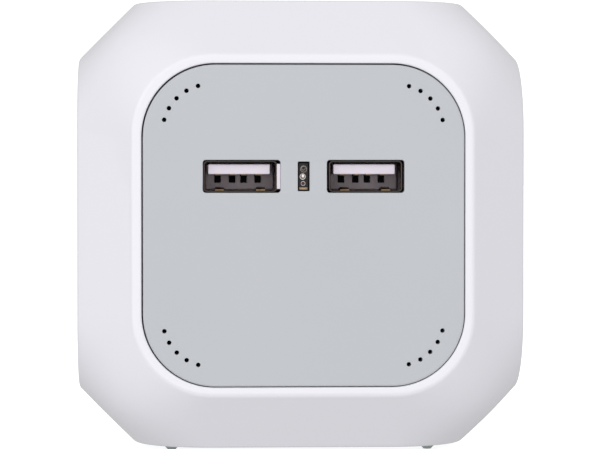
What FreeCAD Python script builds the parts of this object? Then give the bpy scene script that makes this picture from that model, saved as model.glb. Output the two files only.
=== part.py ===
"""Desk power cube: four earthed mains outlets, a two-port USB charger and a cable inlet in a bevelled cube.

Every piece is a labelled object of one document, sized by the spreadsheet "dims", and is written to
parts/LABEL.step. X runs to the right of the USB face, Y from that face to the back, Z up, and the cube stands
on its feet at Z = 0. Outlet pieces are drawn once in outlet axes (X across the pins, Y along the shutter's
travel, Z out of the face, origin at the cube's centre), and each is then turned to its own face.
"""
import FreeCAD
import Part
import os
import Sketcher

V = FreeCAD.Vector
doc = FreeCAD.newDocument("power_cube")

DIMENSIONS = {
    "cube_width": 80.0,        # over two opposite faces
    "lip_half": 29.9,          # half width of the flat lip round each face
    "lip_round": 1.3,          # rounding between lip and bevel
    "ridge_round": 21.9,       # rounding of the ridges between bevels, which meet as a ball at each corner
    "ridge_run": 12.0,         # extra length the ridges are drawn with before the faces cut them off
    "wall": 2.4,
    "opening_half": 28.4,      # opening in each face, closed by a panel
    "opening_radius": 12.9,
    "panel_gap": 0.18,
    "panel_thick": 2.0,
    "panel_depth": 3.8,        # face to the back of the panel's skirt
    "skirt_wall": 1.6,
    "flange_gap": 0.15,
    "flange_bend": 14.2,
    "foot_height": 0.9,
    "foot_radius": 1.6,
    "foot_tip": 1.0,
    "foot_offset": 23.2,
    "foot_stem": 0.8,
    "post_offset": 28.8,       # screw posts in the four long corners
    "post_radius": 4.4,
    "post_reach": 34.5,
    "screw_radius": 1.5,
    "screw_depth": 12.0,
    "head_radius": 2.75,
    "head_height": 2.2,
    "head_seat": 12.2,
    "drive_radius": 1.2,
    "head_bore": 3.1,
    "well_radius": 19.25,      # outlet well for a round earthed plug
    "well_depth": 17.5,
    "well_wall": 1.2,
    "floor_thick": 1.6,
    "pin_pitch": 19.0,
    "pin_hole": 2.8,
    "key_half": 2.7,           # the two ribs that guide the plug
    "key_reach": 16.6,
    "clip_half": 3.0,          # earth clip
    "clip_thick": 0.8,
    "clip_level": 17.0,
    "clip_out": 18.4,
    "clip_in": 16.7,
    "clip_top": 36.0,
    "clip_bend": 31.0,
    "shutter_low": 18.0,
    "shutter_high": 20.7,
    "shutter_half": 3.4,
    "shutter_length": 26.0,
    "shutter_travel": 6.4,
    "rib_gap": 0.3,
    "spring_end": 15.8,
    "spring_radius": 1.0,
    "spring_wire": 0.22,
    "spring_turns": 7.0,
    "carrier_half": 15.2,
    "carrier_low": 15.4,
    "tower_half": 4.6,
    "tower_low": 3.0,
    "tower_bore": 3.6,
    "pillar_offset": 13.0,
    "pillar_half": 1.8,
    "sleeve_radius": 3.1,
    "sleeve_bore": 2.45,
    "sleeve_low": 4.2,
    "sleeve_high": 15.0,
    "tail_half": 2.0,
    "strip": 1.0,              # thickness of the bus bars and tails
    "port_offset": 10.87,      # USB ports either side of the middle
    "port_height": 8.6,        # above the middle of the face
    "port_width": 12.98,
    "port_tall": 5.56,
    "port_skin": 0.28,
    "port_slip": 0.25,         # the left port sits this far off centre in its window
    "port_recess": 0.35,
    "window_width": 13.6,
    "window_tall": 5.74,
    "window_round": 0.5,
    "tongue_width": 10.8,
    "tongue_thick": 1.75,
    "tongue_drop": 0.55,
    "tongue_recess": 1.2,
    "insulator_level": 31.0,
    "lamp_width": 1.9,
    "lamp_tall": 5.0,
    "lamp_window": 0.1,
    "vent_offset": 16.33,      # centre of each corner's arc of vents
    "vent_arc": 8.37,
    "vent_radius": 0.4,
    "board_half": 26.0,
    "board_cut": 8.0,
    "board_thick": 1.6,
    "board_level": 24.8,
    "boss_across": 22.5,
    "boss_upper": 8.0,
    "boss_lower": -12.0,
    "boss_radius": 2.4,
    "boss_hole": 1.1,
    "inlet_height": -8.0,      # cable inlet, below the cube's centre
    "inlet_bore": 4.1,
    "inlet_neck": 5.0,
    "inlet_flange": 5.5,
    "inlet_lip": 0.9,
    "slack": 0.1,              # play between pieces that are fitted together
}


def make_sheet():
    sheet = doc.addObject("Spreadsheet::Sheet", "dims")
    for row, (alias, size) in enumerate(DIMENSIONS.items(), start=1):
        sheet.set(f"A{row}", alias)
        sheet.set(f"B{row}", str(size))
        sheet.setAlias(f"B{row}", alias)
    doc.recompute()
    return sheet


SHEET = make_sheet()
HALF = "dims.cube_width / 2"
CENTRE = "(dims.cube_width / 2 + dims.foot_height)"


def value(formula):
    """The number that a formula of the sheet's aliases gives now."""
    found = SHEET.evalExpression(str(formula).replace("dims.", ""))
    return float(getattr(found, "Value", found))


# ---------------------------------------------------------------- sketches

def origin_plane(body, role):
    return next(item for item in body.Origin.OriginFeatures if item.Role == role)


def sketch_in(body, plane="XY_Plane", level="0"):
    """A sketch on one of the body's origin planes, raised to a level along the plane's normal."""
    sketch = body.newObject("Sketcher::SketchObject", body.Name + "_sketch")
    sketch.AttachmentSupport = [(origin_plane(body, plane), "")]
    sketch.MapMode = "FlatFace"
    sketch.setExpression("AttachmentOffset.Base.z", str(level))
    return sketch


def free_sketch(name, level="0"):
    sketch = doc.addObject("Sketcher::SketchObject", name)
    sketch.setExpression("Placement.Base.z", str(level))
    return sketch


def bind(sketch, kind, place, formula):
    """Adds a dimension to a sketch and binds it to a formula."""
    index = sketch.addConstraint(Sketcher.Constraint(kind, *place, value(formula)))
    sketch.setExpression(f"Constraints[{index}]", str(formula))


def draw_circle(sketch, radius, x="0", y="0"):
    circle = Part.Circle(V(value(x), value(y), 0), V(0, 0, 1), value(radius))
    edge = sketch.addGeometry(circle, False)
    bind(sketch, "Radius", (edge,), radius)
    bind(sketch, "DistanceX", (-1, 1, edge, 3), x)
    bind(sketch, "DistanceY", (-1, 1, edge, 3), y)


def draw_polygon(sketch, corners):
    """A closed outline through corners given as pairs of formulas."""
    spots = [V(value(x), value(y), 0) for x, y in corners]
    lines = [Part.LineSegment(a, b) for a, b in zip(spots, spots[1:] + spots[:1])]
    edges = [sketch.addGeometry(line, False) for line in lines]
    for number, edge in enumerate(edges):
        following = edges[(number + 1) % len(edges)]
        sketch.addConstraint(Sketcher.Constraint("Coincident", edge, 2, following, 1))
    for edge, (x, y) in zip(edges, corners):
        bind(sketch, "DistanceX", (-1, 1, edge, 1), x)
        bind(sketch, "DistanceY", (-1, 1, edge, 1), y)


def draw_rectangle(sketch, x_low, x_high, y_low, y_high):
    draw_polygon(sketch, [(x_low, y_low), (x_high, y_low), (x_high, y_high), (x_low, y_high)])


def draw_rounded(sketch, half_x, half_y, radius, x="0", y="0"):
    """A rounded rectangle: four lines joined by tangent quarter circles."""
    a, b, r = value(half_x), value(half_y), value(radius)
    middle = V(value(x), value(y), 0)
    turns = [(1, -1, -90), (1, 1, 0), (-1, 1, 90), (-1, -1, 180)]
    arcs = []
    for side_x, side_y, start in turns:
        centre = middle + V(side_x * (a - r), side_y * (b - r), 0)
        circle = Part.Circle(centre, V(0, 0, 1), r)
        first = FreeCAD.Units.parseQuantity(f"{start} deg").getValueAs("rad").Value
        quarter = FreeCAD.Units.parseQuantity("90 deg").getValueAs("rad").Value
        arcs.append(Part.ArcOfCircle(circle, first, first + quarter))
    bends = [sketch.addGeometry(arc, False) for arc in arcs]
    for number, bend in enumerate(bends):
        following = bends[(number + 1) % 4]
        line = Part.LineSegment(arcs[number].EndPoint, arcs[(number + 1) % 4].StartPoint)
        edge = sketch.addGeometry(line, False)
        sketch.addConstraint(Sketcher.Constraint("Tangent", bend, 2, edge, 1))
        sketch.addConstraint(Sketcher.Constraint("Tangent", edge, 2, following, 1))
        if number:
            sketch.addConstraint(Sketcher.Constraint("Equal", bends[0], bend))
    bind(sketch, "Radius", (bends[0],), radius)
    bind(sketch, "DistanceX", (-1, 1, bends[0], 3), f"({x}) + ({half_x}) - ({radius})")
    bind(sketch, "DistanceY", (-1, 1, bends[0], 3), f"({y}) - ({half_y}) + ({radius})")
    bind(sketch, "DistanceX", (-1, 1, bends[2], 3), f"({x}) - ({half_x}) + ({radius})")
    bind(sketch, "DistanceY", (-1, 1, bends[2], 3), f"({y}) + ({half_y}) - ({radius})")
    sketch.addConstraint(Sketcher.Constraint("Horizontal", bends[0] + 4 + 1))
    sketch.addConstraint(Sketcher.Constraint("Vertical", bends[0] + 4))


# ---------------------------------------------------------------- features

def new_body(label):
    body = doc.addObject("PartDesign::Body", label)
    body.Label = label
    return body


def grow(body, sketch, length, both=False):
    pad = body.newObject("PartDesign::Pad", body.Name + "_pad")
    pad.Profile = sketch
    pad.Midplane = both
    pad.setExpression("Length", str(length))
    return pad


def cut(body, sketch, length, both=False, back=False):
    """Cuts a pocket and stops the build if it removed nothing."""
    doc.recompute()
    before = body.Shape.Volume
    pocket = body.newObject("PartDesign::Pocket", body.Name + "_pocket")
    pocket.Profile = sketch
    pocket.Midplane = both
    pocket.Reversed = back
    pocket.setExpression("Length", str(length))
    doc.recompute()
    if body.Shape.Volume > before - 1e-6:
        raise RuntimeError(f"a pocket of {body.Label} cut nothing")
    return pocket


def spin(body, outline):
    """Revolves an outline of (radius, height) corners about the body's Z axis."""
    sketch = sketch_in(body, "XZ_Plane")
    draw_polygon(sketch, outline)
    turned = body.newObject("PartDesign::Revolution", body.Name + "_revolution")
    turned.Profile = sketch
    turned.ReferenceAxis = (sketch, ["V_Axis"])
    turned.Angle = 360
    return turned


def block(name, x_low, x_high, y_low, y_high, z_low, z_high):
    """A Part::Box between two corners given as formulas."""
    box = doc.addObject("Part::Box", name)
    spans = (("Length", "x", x_low, x_high), ("Width", "y", y_low, y_high), ("Height", "z", z_low, z_high))
    for side, axis, low, high in spans:
        box.setExpression(side, f"({high}) - ({low})")
        box.setExpression(f"Placement.Base.{axis}", str(low))
    return box


def rod(name, radius, length, x="0", y="0", z="0", turn=None):
    """A Part::Cylinder that starts at a point and runs along Z, or along the way that turn sends Z."""
    cylinder = doc.addObject("Part::Cylinder", name)
    if turn is not None:
        cylinder.Placement = FreeCAD.Placement(V(0, 0, 0), turn)
    cylinder.setExpression("Radius", str(radius))
    cylinder.setExpression("Height", str(length))
    for axis, place in zip("xyz", (x, y, z)):
        cylinder.setExpression(f"Placement.Base.{axis}", str(place))
    return cylinder


def joined(name, kind, shapes):
    whole = doc.addObject(kind, name)
    whole.Shapes = shapes
    return whole


def fused(label, shapes):
    whole = joined(label, "Part::MultiFuse", shapes)
    whole.Refine = True
    whole.Label = label
    return whole


def grouped(label, shapes):
    """Separate solids that share one node."""
    whole = doc.addObject("Part::Compound", label)
    whole.Links = shapes
    whole.Label = label
    return whole


def cut_away(label, base, tool):
    rest = doc.addObject("Part::Cut", label)
    rest.Base = base
    rest.Tool = tool
    rest.Label = label
    return rest


PIECES = []


def finish(piece, turn=None):
    """Places a piece that was drawn about the cube's centre, and lists it for export."""
    turn = turn or FreeCAD.Rotation()
    piece.Placement = FreeCAD.Placement(V(0, 0, value(CENTRE)), turn)
    piece.setExpression("Placement.Base.z", CENTRE)
    PIECES.append(piece)
    return piece


def facing(across, outward):
    """The turn that sends the outlet's X axis to across and its Z axis to outward."""
    return FreeCAD.Rotation(V(*across), V(0, 0, 0), V(*outward), "ZXY")


FACES = {
    "left": facing((0, -1, 0), (-1, 0, 0)),
    "right": facing((0, 1, 0), (1, 0, 0)),
    "rear": facing((0, 0, 1), (0, 1, 0)),
    "top": facing((1, 0, 0), (0, 0, 1)),
    "front": facing((1, 0, 0), (0, -1, 0)),
    "bottom": facing((1, 0, 0), (0, 0, -1)),
}
ALONG_Y = FreeCAD.Rotation(V(1, 0, 0), -90)
INLET = facing((0, 0, 1), (-1, 1, 0))


# ---------------------------------------------------------------- housing

def bevelled_cube(name, half, flat, ridge):
    """A cube bevelled at 45 degrees along each edge, with the ridges between its bevels rounded off."""
    reach = f"({half}) + ({flat})"
    prisms = [cube(name + "_blank", f"({half}) + dims.ridge_run")]
    for face in ("right", "rear", "top"):
        outline = free_sketch(f"{name}_{face}_bevels")
        draw_polygon(outline, [(reach, "0"), ("0", reach), (f"-({reach})", "0"), ("0", f"-({reach})")])
        prisms.append(through(f"{name}_{face}_prism", outline, f"4 * ({half})", FACES[face]))
    ridged = joined(name + "_ridged", "Part::MultiCommon", prisms)
    smooth = rounded_edges(name + "_smooth", ridged, ridge, runs_to_a_corner)
    return joined(name, "Part::MultiCommon", [smooth, cube(name + "_faces", half)])


def cube(name, half):
    return block(name, f"-({half})", half, f"-({half})", half, f"-({half})", half)


def through(name, outline, length, turn):
    """A prism through the cube's centre, turned to a face."""
    prism = doc.addObject("Part::Extrusion", name)
    prism.Base = outline
    prism.DirMode = "Normal"
    prism.Solid = True
    prism.Symmetric = True
    prism.setExpression("LengthFwd", length)
    prism.Placement = FreeCAD.Placement(V(0, 0, 0), turn)
    return prism


def lies_on_a_face(edge):
    box = edge.BoundBox
    spans = ((box.XMin, box.XMax), (box.YMin, box.YMax), (box.ZMin, box.ZMax))
    reach = value(HALF)
    return any(abs(low - high) < 1e-6 and abs(abs(low) - reach) < 1e-6 for low, high in spans)


def runs_to_a_corner(edge):
    """True of an edge that leans equally to all three axes."""
    along = edge.tangentAt(edge.FirstParameter)
    leans = sorted(abs(part) for part in along)
    return leans[2] - leans[0] < 1e-4


def rounded_edges(name, solid, radius, picks):
    """Rounds the edges that picks accepts."""
    doc.recompute()
    size = value(radius)
    numbered = enumerate(solid.Shape.Edges, start=1)
    smooth = doc.addObject("Part::Fillet", name)
    smooth.Base = solid
    smooth.Edges = [(number, size, size) for number, edge in numbered if picks(edge)]
    return smooth


def face_tunnels():
    """The openings of opposite faces, as three prisms through the cube."""
    tunnels = []
    for name in ("right", "rear", "top"):
        outline = free_sketch(f"tunnel_{name}_outline")
        draw_rounded(outline, "dims.opening_half", "dims.opening_half", "dims.opening_radius")
        tunnels.append(through(f"tunnel_{name}", outline, "dims.cube_width + 2 * dims.wall", FACES[name]))
    return joined("tunnels", "Part::MultiFuse", tunnels)


def corner_rods(name, radius, start, end):
    """Four rods along Y in the cube's long corners."""
    rods = []
    for side_x in (1, -1):
        for side_z in (1, -1):
            x, z = f"{side_x} * dims.post_offset", f"{side_z} * dims.post_offset"
            rods.append(rod(f"{name}_{len(rods)}", radius, f"({end}) - ({start})", x, start, z, ALONG_Y))
    return rods


def make_housing():
    """The shell with its corner posts, cut through for panels, screws and cable, then split at Y = 0."""
    outer = bevelled_cube("outer", HALF, "dims.lip_half", "dims.ridge_round")
    inner_flat = "dims.lip_half - dims.wall * (sqrt(2) - 1)"
    inner = bevelled_cube("inner", f"{HALF} - dims.wall", inner_flat, "dims.ridge_round - dims.wall")
    lips = rounded_edges("rounded_lips", outer, "dims.lip_round", lies_on_a_face)
    shell = cut_away("shell", lips, inner)
    rods = corner_rods("post", "dims.post_radius", "-dims.post_reach", "dims.post_reach")
    posts = joined("posts_inside", "Part::MultiCommon", [joined("posts", "Part::MultiFuse", rods), outer])
    frame = joined("frame", "Part::MultiFuse", [shell, posts])
    clearances = [face_tunnels()]
    clearances += corner_rods("pilot", "dims.screw_radius + 0.05", "-dims.screw_depth - 1", "0")
    clearances += corner_rods("shank_hole", "dims.screw_radius + 0.2", "-0.5", "dims.head_seat")
    clearances += corner_rods("head_hole", "dims.head_bore", "dims.head_seat", HALF)
    quarter = "dims.cube_width / 4"
    spot = (f"-{quarter}", quarter, "dims.inlet_height")
    clearances.append(rod("inlet_hole", "dims.inlet_neck + dims.slack", HALF, *spot, INLET))
    opened = cut_away("opened_frame", frame, joined("clearances", "Part::MultiFuse", clearances))
    reach = "(dims.cube_width / 2 + 1)"
    for label, low, high in (("front_housing", f"-{reach}", "0"), ("rear_housing", "0", reach)):
        side = block(label + "_side", f"-{reach}", reach, low, high, f"-{reach}", reach)
        finish(joined(label, "Part::MultiCommon", [opened, side]))


def make_housing_screws():
    """Four screws from the rear corners, each with a round socket in its head."""
    shanks = corner_rods("shank", "dims.screw_radius", "-dims.screw_depth", "dims.head_seat + 0.1")
    heads = corner_rods("head", "dims.head_radius", "dims.head_seat", "dims.head_seat + dims.head_height")
    drives = corner_rods("drive", "dims.drive_radius", "dims.head_seat + 1", "dims.head_seat + 4")
    screws = []
    for shank, head, drive in zip(shanks, heads, drives):
        whole = joined(shank.Name + "_head", "Part::MultiFuse", [shank, head])
        screws.append(cut_away("screw_" + shank.Name, whole, drive))
    finish(grouped("housing_screws", screws))


def make_inlet():
    """Cable inlet bush, snapped into the long bevel between the left and rear faces."""
    body = new_body("cable_gland")
    seat = f"({HALF} + dims.lip_half) / sqrt(2)"
    back = f"{seat} - dims.wall - dims.slack"
    top = f"{seat} + dims.inlet_lip"
    spin(body, [
        ("dims.inlet_bore", back), ("dims.inlet_neck", back), ("dims.inlet_neck", seat),
        ("dims.inlet_flange", seat), ("dims.inlet_flange", f"{top} - 0.3"),
        ("dims.inlet_flange - 0.3", top), ("dims.inlet_bore", top),
    ])
    lugs = sketch_in(body, level=f"{back} - 1.2")
    draw_rectangle(lugs, "-dims.inlet_flange - 0.4", "dims.inlet_flange + 0.4", "-2.8", "2.8")
    grow(body, lugs, "1.3")
    bore = sketch_in(body, level=f"{back} - 1.2")
    draw_circle(bore, "dims.inlet_bore")
    cut(body, bore, "1.3", back=True)
    body.Placement = FreeCAD.Placement(V(0, 0, 0), INLET)
    body.setExpression("Placement.Base.z", f"{CENTRE} + dims.inlet_height")
    PIECES.append(body)


# ---------------------------------------------------------------- panels

def panel_blank(label):
    """A face panel: plate, skirt and the bevelled flange that the two housing halves trap."""
    body = new_body(label)
    half = "dims.opening_half - dims.panel_gap"
    radius = "dims.opening_radius - dims.panel_gap"
    plate = sketch_in(body, level=f"{HALF} - dims.panel_depth")
    draw_rounded(plate, half, half, radius)
    grow(body, plate, "dims.panel_depth")
    top = f"{HALF} - dims.wall - dims.flange_gap"
    low = f"{HALF} - dims.panel_depth"
    flat = "dims.lip_half - dims.wall * (sqrt(2) - 1) - dims.flange_gap"
    bend = "dims.flange_bend"
    spread = f"({top}) - ({low})"
    flange = body.newObject("PartDesign::AdditiveLoft", label + "_flange")
    narrow = sketch_in(body, level=top)
    draw_rounded(narrow, flat, flat, bend)
    wide = sketch_in(body, level=low)
    draw_rounded(wide, f"{flat} + {spread}", f"{flat} + {spread}", f"{bend} + {spread}")
    flange.Profile = narrow
    flange.Sections = [wide]
    flange.Ruled = True
    body.Tip = flange
    hollow = sketch_in(body, level=low)
    inside = f"{half} - dims.skirt_wall"
    draw_rounded(hollow, inside, inside, f"{radius} - dims.skirt_wall")
    cut(body, hollow, "dims.panel_depth - dims.panel_thick", back=True)
    return body


def make_front_panel():
    body = panel_blank("front_panel")
    bosses = sketch_in(body, level="dims.board_level + dims.board_thick")
    for side in (1, -1):
        for height in ("dims.boss_upper", "dims.boss_lower"):
            draw_circle(bosses, "dims.boss_radius", f"{side} * dims.boss_across", height)
    grow(body, bosses, f"{HALF} - dims.panel_thick / 2 - dims.board_level - dims.board_thick")
    holes = sketch_in(body, level="dims.board_level + dims.board_thick")
    for side in (1, -1):
        for height in ("dims.boss_upper", "dims.boss_lower"):
            draw_circle(holes, "dims.boss_hole", f"{side} * dims.boss_across", height)
    cut(body, holes, "8", back=True)
    windows = sketch_in(body, level=HALF)
    for side in (1, -1):
        draw_rounded(windows, "dims.window_width / 2", "dims.window_tall / 2", "dims.window_round",
                     f"{side} * dims.port_offset", "dims.port_height")
    slot = "dims.lamp_window"
    draw_rectangle(windows, f"-dims.lamp_width / 2 - {slot}", f"dims.lamp_width / 2 + {slot}",
                   f"dims.port_height - dims.lamp_tall / 2 - {slot}",
                   f"dims.port_height + dims.lamp_tall / 2 + {slot}")
    cut(body, windows, "dims.panel_thick")
    vents = sketch_in(body, level=HALF)
    for side_x in (1, -1):
        for side_y in (1, -1):
            for angle in (15, 30, 45, 60, 75):
                draw_circle(vents, "dims.vent_radius",
                            f"{side_x} * (dims.vent_offset + dims.vent_arc * cos({angle} deg))",
                            f"{side_y} * (dims.vent_offset + dims.vent_arc * sin({angle} deg))")
    cut(body, vents, "dims.panel_thick")
    finish(body, FACES["front"])


def make_base():
    body = panel_blank("base_cover")
    stems = sketch_in(body, level=HALF)
    for side_x in (1, -1):
        for side_y in (1, -1):
            x, y = f"{side_x} * dims.foot_offset", f"{side_y} * dims.foot_offset"
            draw_circle(stems, "dims.foot_stem + dims.slack", x, y)
    cut(body, stems, "dims.panel_thick")
    plate = sketch_in(body, level=HALF)
    draw_rounded(plate, "17", "11", "2")
    cut(body, plate, "0.3")
    finish(body, FACES["bottom"])
    feet = []
    for side_x in (1, -1):
        for side_y in (1, -1):
            foot = doc.addObject("Part::Cone", f"foot_{len(feet)}")
            foot.setExpression("Radius1", "dims.foot_radius")
            foot.setExpression("Radius2", "dims.foot_tip")
            foot.setExpression("Height", "dims.foot_height")
            x, y = f"{side_x} * dims.foot_offset", f"{side_y} * dims.foot_offset"
            for axis, place in zip("xyz", (x, y, HALF)):
                foot.setExpression(f"Placement.Base.{axis}", place)
            stem = rod(f"foot_stem_{len(feet)}", "dims.foot_stem", "dims.panel_thick + 0.1", x, y,
                       f"{HALF} - dims.panel_thick")
            feet.append(joined(f"foot_whole_{len(feet)}", "Part::MultiFuse", [foot, stem]))
    finish(grouped("rubber_feet", feet), FACES["bottom"])


# ---------------------------------------------------------------- outlets

def make_socket_panel(face):
    """Panel with the round well of an earthed outlet and the two ribs that guide the plug."""
    body = panel_blank("socket_panel_" + face)
    tube = sketch_in(body, level=f"{HALF} - dims.well_depth")
    draw_circle(tube, "dims.well_radius + dims.well_wall")
    grow(body, tube, "dims.well_depth - dims.panel_thick / 2")
    well = sketch_in(body, level=HALF)
    draw_circle(well, "dims.well_radius")
    cut(body, well, "dims.well_depth")
    for side in (1, -1):
        key = sketch_in(body, level=f"{HALF} - dims.well_depth")
        spans = (f"{side} * dims.key_reach", f"{side} * (dims.well_radius + dims.well_wall / 2)")
        ends = sorted(spans, key=value)
        draw_rectangle(key, ends[0], ends[1], "-dims.key_half", "dims.key_half")
        grow(body, key, "dims.well_depth - 1.5")
    finish(body, FACES[face])


def make_socket_floor(face):
    """The well's floor, with both pin holes, and ribs behind it that guide the shutter."""
    body = new_body("socket_floor_" + face)
    low = f"{HALF} - dims.well_depth - dims.floor_thick"
    disc = sketch_in(body, level=low)
    draw_circle(disc, "dims.well_radius + dims.well_wall")
    grow(body, disc, "dims.floor_thick")
    stop = "dims.shutter_half + dims.rib_gap"
    edge = "dims.shutter_length / 2 + dims.rib_gap"
    ribs = [
        (edge, f"{edge} + 1", "-(dims.shutter_half + dims.shutter_travel + 1)", stop),
        (f"-({edge}) - 1", f"-({edge})", "-(dims.shutter_half + dims.shutter_travel + 1)", stop),
        ("-6", "6", stop, f"{stop} + 1.2"),
        ("-dims.clip_half + 0.4", "dims.clip_half - 0.4", "-dims.spring_end - 1.1", "-dims.spring_end"),
    ]
    for x_low, x_high, y_low, y_high in ribs:
        rib = sketch_in(body, level="dims.shutter_low")
        draw_rectangle(rib, x_low, x_high, y_low, y_high)
        grow(body, rib, f"{low} - dims.shutter_low + dims.floor_thick / 2")
    holes = sketch_in(body, level=f"{HALF} - dims.well_depth")
    for side in (1, -1):
        draw_circle(holes, "dims.pin_hole", f"{side} * dims.pin_pitch / 2")
        spans = (f"{side} * (dims.clip_out + 0.3)", f"{side} * (dims.clip_out - dims.clip_thick - 0.3)")
        slot = sorted(spans, key=value)
        draw_rectangle(holes, "-dims.clip_half - 0.3", "dims.clip_half + 0.3", slot[0], slot[1])
    cut(body, holes, "dims.floor_thick")
    finish(body, FACES[face])


def make_earth_clip(face):
    """A bent strip: its base crosses behind the floor, and both prongs stand in the well."""
    body = new_body("earth_clip_" + face)
    outline = sketch_in(body, "YZ_Plane")
    thick, low = "dims.clip_thick", "dims.clip_level"
    knee = "dims.clip_bend - 5"
    outer = [("dims.clip_out", low), ("dims.clip_out", knee), ("dims.clip_in + " + thick, "dims.clip_bend"),
             ("dims.clip_out - 0.4", "dims.clip_top")]
    inner = [(f"dims.clip_out - 0.4 - {thick}", "dims.clip_top"), ("dims.clip_in", "dims.clip_bend"),
             (f"dims.clip_out - {thick}", knee), (f"dims.clip_out - {thick}", f"{low} + {thick}")]
    right = outer + inner
    left = [(f"-({x})", y) for x, y in reversed(right)]
    draw_polygon(outline, right + left)
    grow(body, outline, "2 * dims.clip_half", both=True)
    finish(body, FACES[face])


def make_shutter(face):
    """Child-safety bar whose sloped edge both pins push aside together."""
    body = new_body("shutter_" + face)
    outline = sketch_in(body, "YZ_Plane")
    edge = "dims.shutter_half"
    draw_polygon(outline, [
        (f"-{edge}", "dims.shutter_low"), (edge, "dims.shutter_low"), (edge, "dims.shutter_low + 0.7"),
        (f"-{edge} / 2", "dims.shutter_high"), (f"-{edge}", "dims.shutter_high"),
    ])
    grow(body, outline, "dims.shutter_length", both=True)
    peg = sketch_in(body, "XZ_Plane", level=edge)
    middle = "(dims.shutter_low + dims.shutter_high) / 2"
    draw_circle(peg, "dims.spring_radius - dims.spring_wire - 0.2", "0", middle)
    grow(body, peg, "1.6")
    finish(body, FACES[face])


def make_spring(face):
    """Coil spring between the shutter and its stop rib."""
    coil = doc.addObject("Part::Helix", "coil_" + face)
    length = "(dims.spring_end - dims.shutter_half - 2 * dims.spring_wire - 0.1)"
    coil.setExpression("Height", length)
    coil.setExpression("Pitch", f"{length} / dims.spring_turns")
    coil.setExpression("Radius", "dims.spring_radius")
    ring = doc.addObject("Part::Circle", "coil_wire_" + face)
    ring.setExpression("Radius", "dims.spring_wire")
    ring.Placement = FreeCAD.Placement(V(0, 0, 0), FreeCAD.Rotation(V(1, 0, 0), 90))
    ring.setExpression("Placement.Base.x", "dims.spring_radius")
    wire = doc.addObject("Part::Sweep", "coil_sweep_" + face)
    wire.Sections = [ring]
    wire.Spine = (coil, ["Edge1"])
    wire.Solid = True
    wire.Frenet = True
    wire.Placement = FreeCAD.Placement(V(0, 0, 0), FreeCAD.Rotation(V(1, 0, 0), 90))
    wire.setExpression("Placement.Base.y", "-dims.shutter_half - dims.spring_wire - 0.05")
    wire.setExpression("Placement.Base.z", "(dims.shutter_low + dims.shutter_high) / 2")
    finish(grouped("shutter_spring_" + face, [wire]), FACES[face])


def make_carrier(face):
    """Insulating block behind the well: a plate, four pillars and a tower round each contact."""
    body = new_body("contact_carrier_" + face)
    plate = sketch_in(body, level="dims.carrier_low")
    draw_rounded(plate, "dims.carrier_half", "dims.carrier_half", "3")
    grow(body, plate, "dims.clip_level - dims.carrier_low")
    towers = sketch_in(body, level="dims.tower_low")
    bores = sketch_in(body, level="dims.tower_low")
    pillars = sketch_in(body, level="dims.clip_level")
    offset, half = "dims.pillar_offset", "dims.pillar_half"
    for side in (1, -1):
        middle = f"{side} * dims.pin_pitch / 2"
        draw_rectangle(towers, f"{middle} - dims.tower_half", f"{middle} + dims.tower_half",
                       "-dims.tower_half", "dims.tower_half")
        draw_circle(bores, "dims.tower_bore", middle)
        for other in (1, -1):
            draw_rectangle(pillars, f"{side} * {offset} - {half}", f"{side} * {offset} + {half}",
                           f"{other} * {offset} - {half}", f"{other} * {offset} + {half}")
    grow(body, towers, "dims.carrier_low - dims.tower_low + 0.5")
    grow(body, pillars, f"{HALF} - dims.well_depth - dims.floor_thick - dims.clip_level")
    cut(body, bores, "dims.clip_level - dims.tower_low", back=True)
    finish(body, FACES[face])


def make_contacts(face, tail_end):
    """Two slit brass sleeves that grip the plug's pins, each with a tail to its bus bar."""
    sleeves = []
    for side in (1, -1):
        middle = f"{side} * dims.pin_pitch / 2"
        name = f"{face}_{'plus' if side > 0 else 'minus'}"
        length = "dims.sleeve_high - dims.sleeve_low"
        skin = rod("sleeve_" + name, "dims.sleeve_radius", length, middle, "0", "dims.sleeve_low")
        tail = block("tail_" + name, f"{middle} - dims.tail_half", f"{middle} + dims.tail_half",
                     "-dims.strip / 2", "dims.strip / 2", tail_end, "dims.sleeve_low + 0.5")
        bore = rod("grip_" + name, "dims.sleeve_bore", length, middle, "0", "dims.sleeve_low + 1")
        slit = block("slit_" + name, f"{middle} - dims.tower_half", f"{middle} + dims.tower_half",
                     "-0.4", "0.4", "dims.sleeve_low + 3", "dims.sleeve_high + 1")
        whole = joined("contact_" + name, "Part::MultiFuse", [skin, tail])
        gap = joined("gap_" + name, "Part::MultiFuse", [bore, slit])
        sleeves.append(cut_away("contact_open_" + name, whole, gap))
    finish(grouped("contacts_" + face, sleeves), FACES[face])


def make_outlets():
    tail_ends = {"left": "0.5", "right": "0.5", "rear": "2.6", "top": "2.5"}
    for face, tail_end in tail_ends.items():
        make_socket_panel(face)
        make_socket_floor(face)
        make_earth_clip(face)
        make_shutter(face)
        make_spring(face)
        make_carrier(face)
        make_contacts(face, tail_end)


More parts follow.
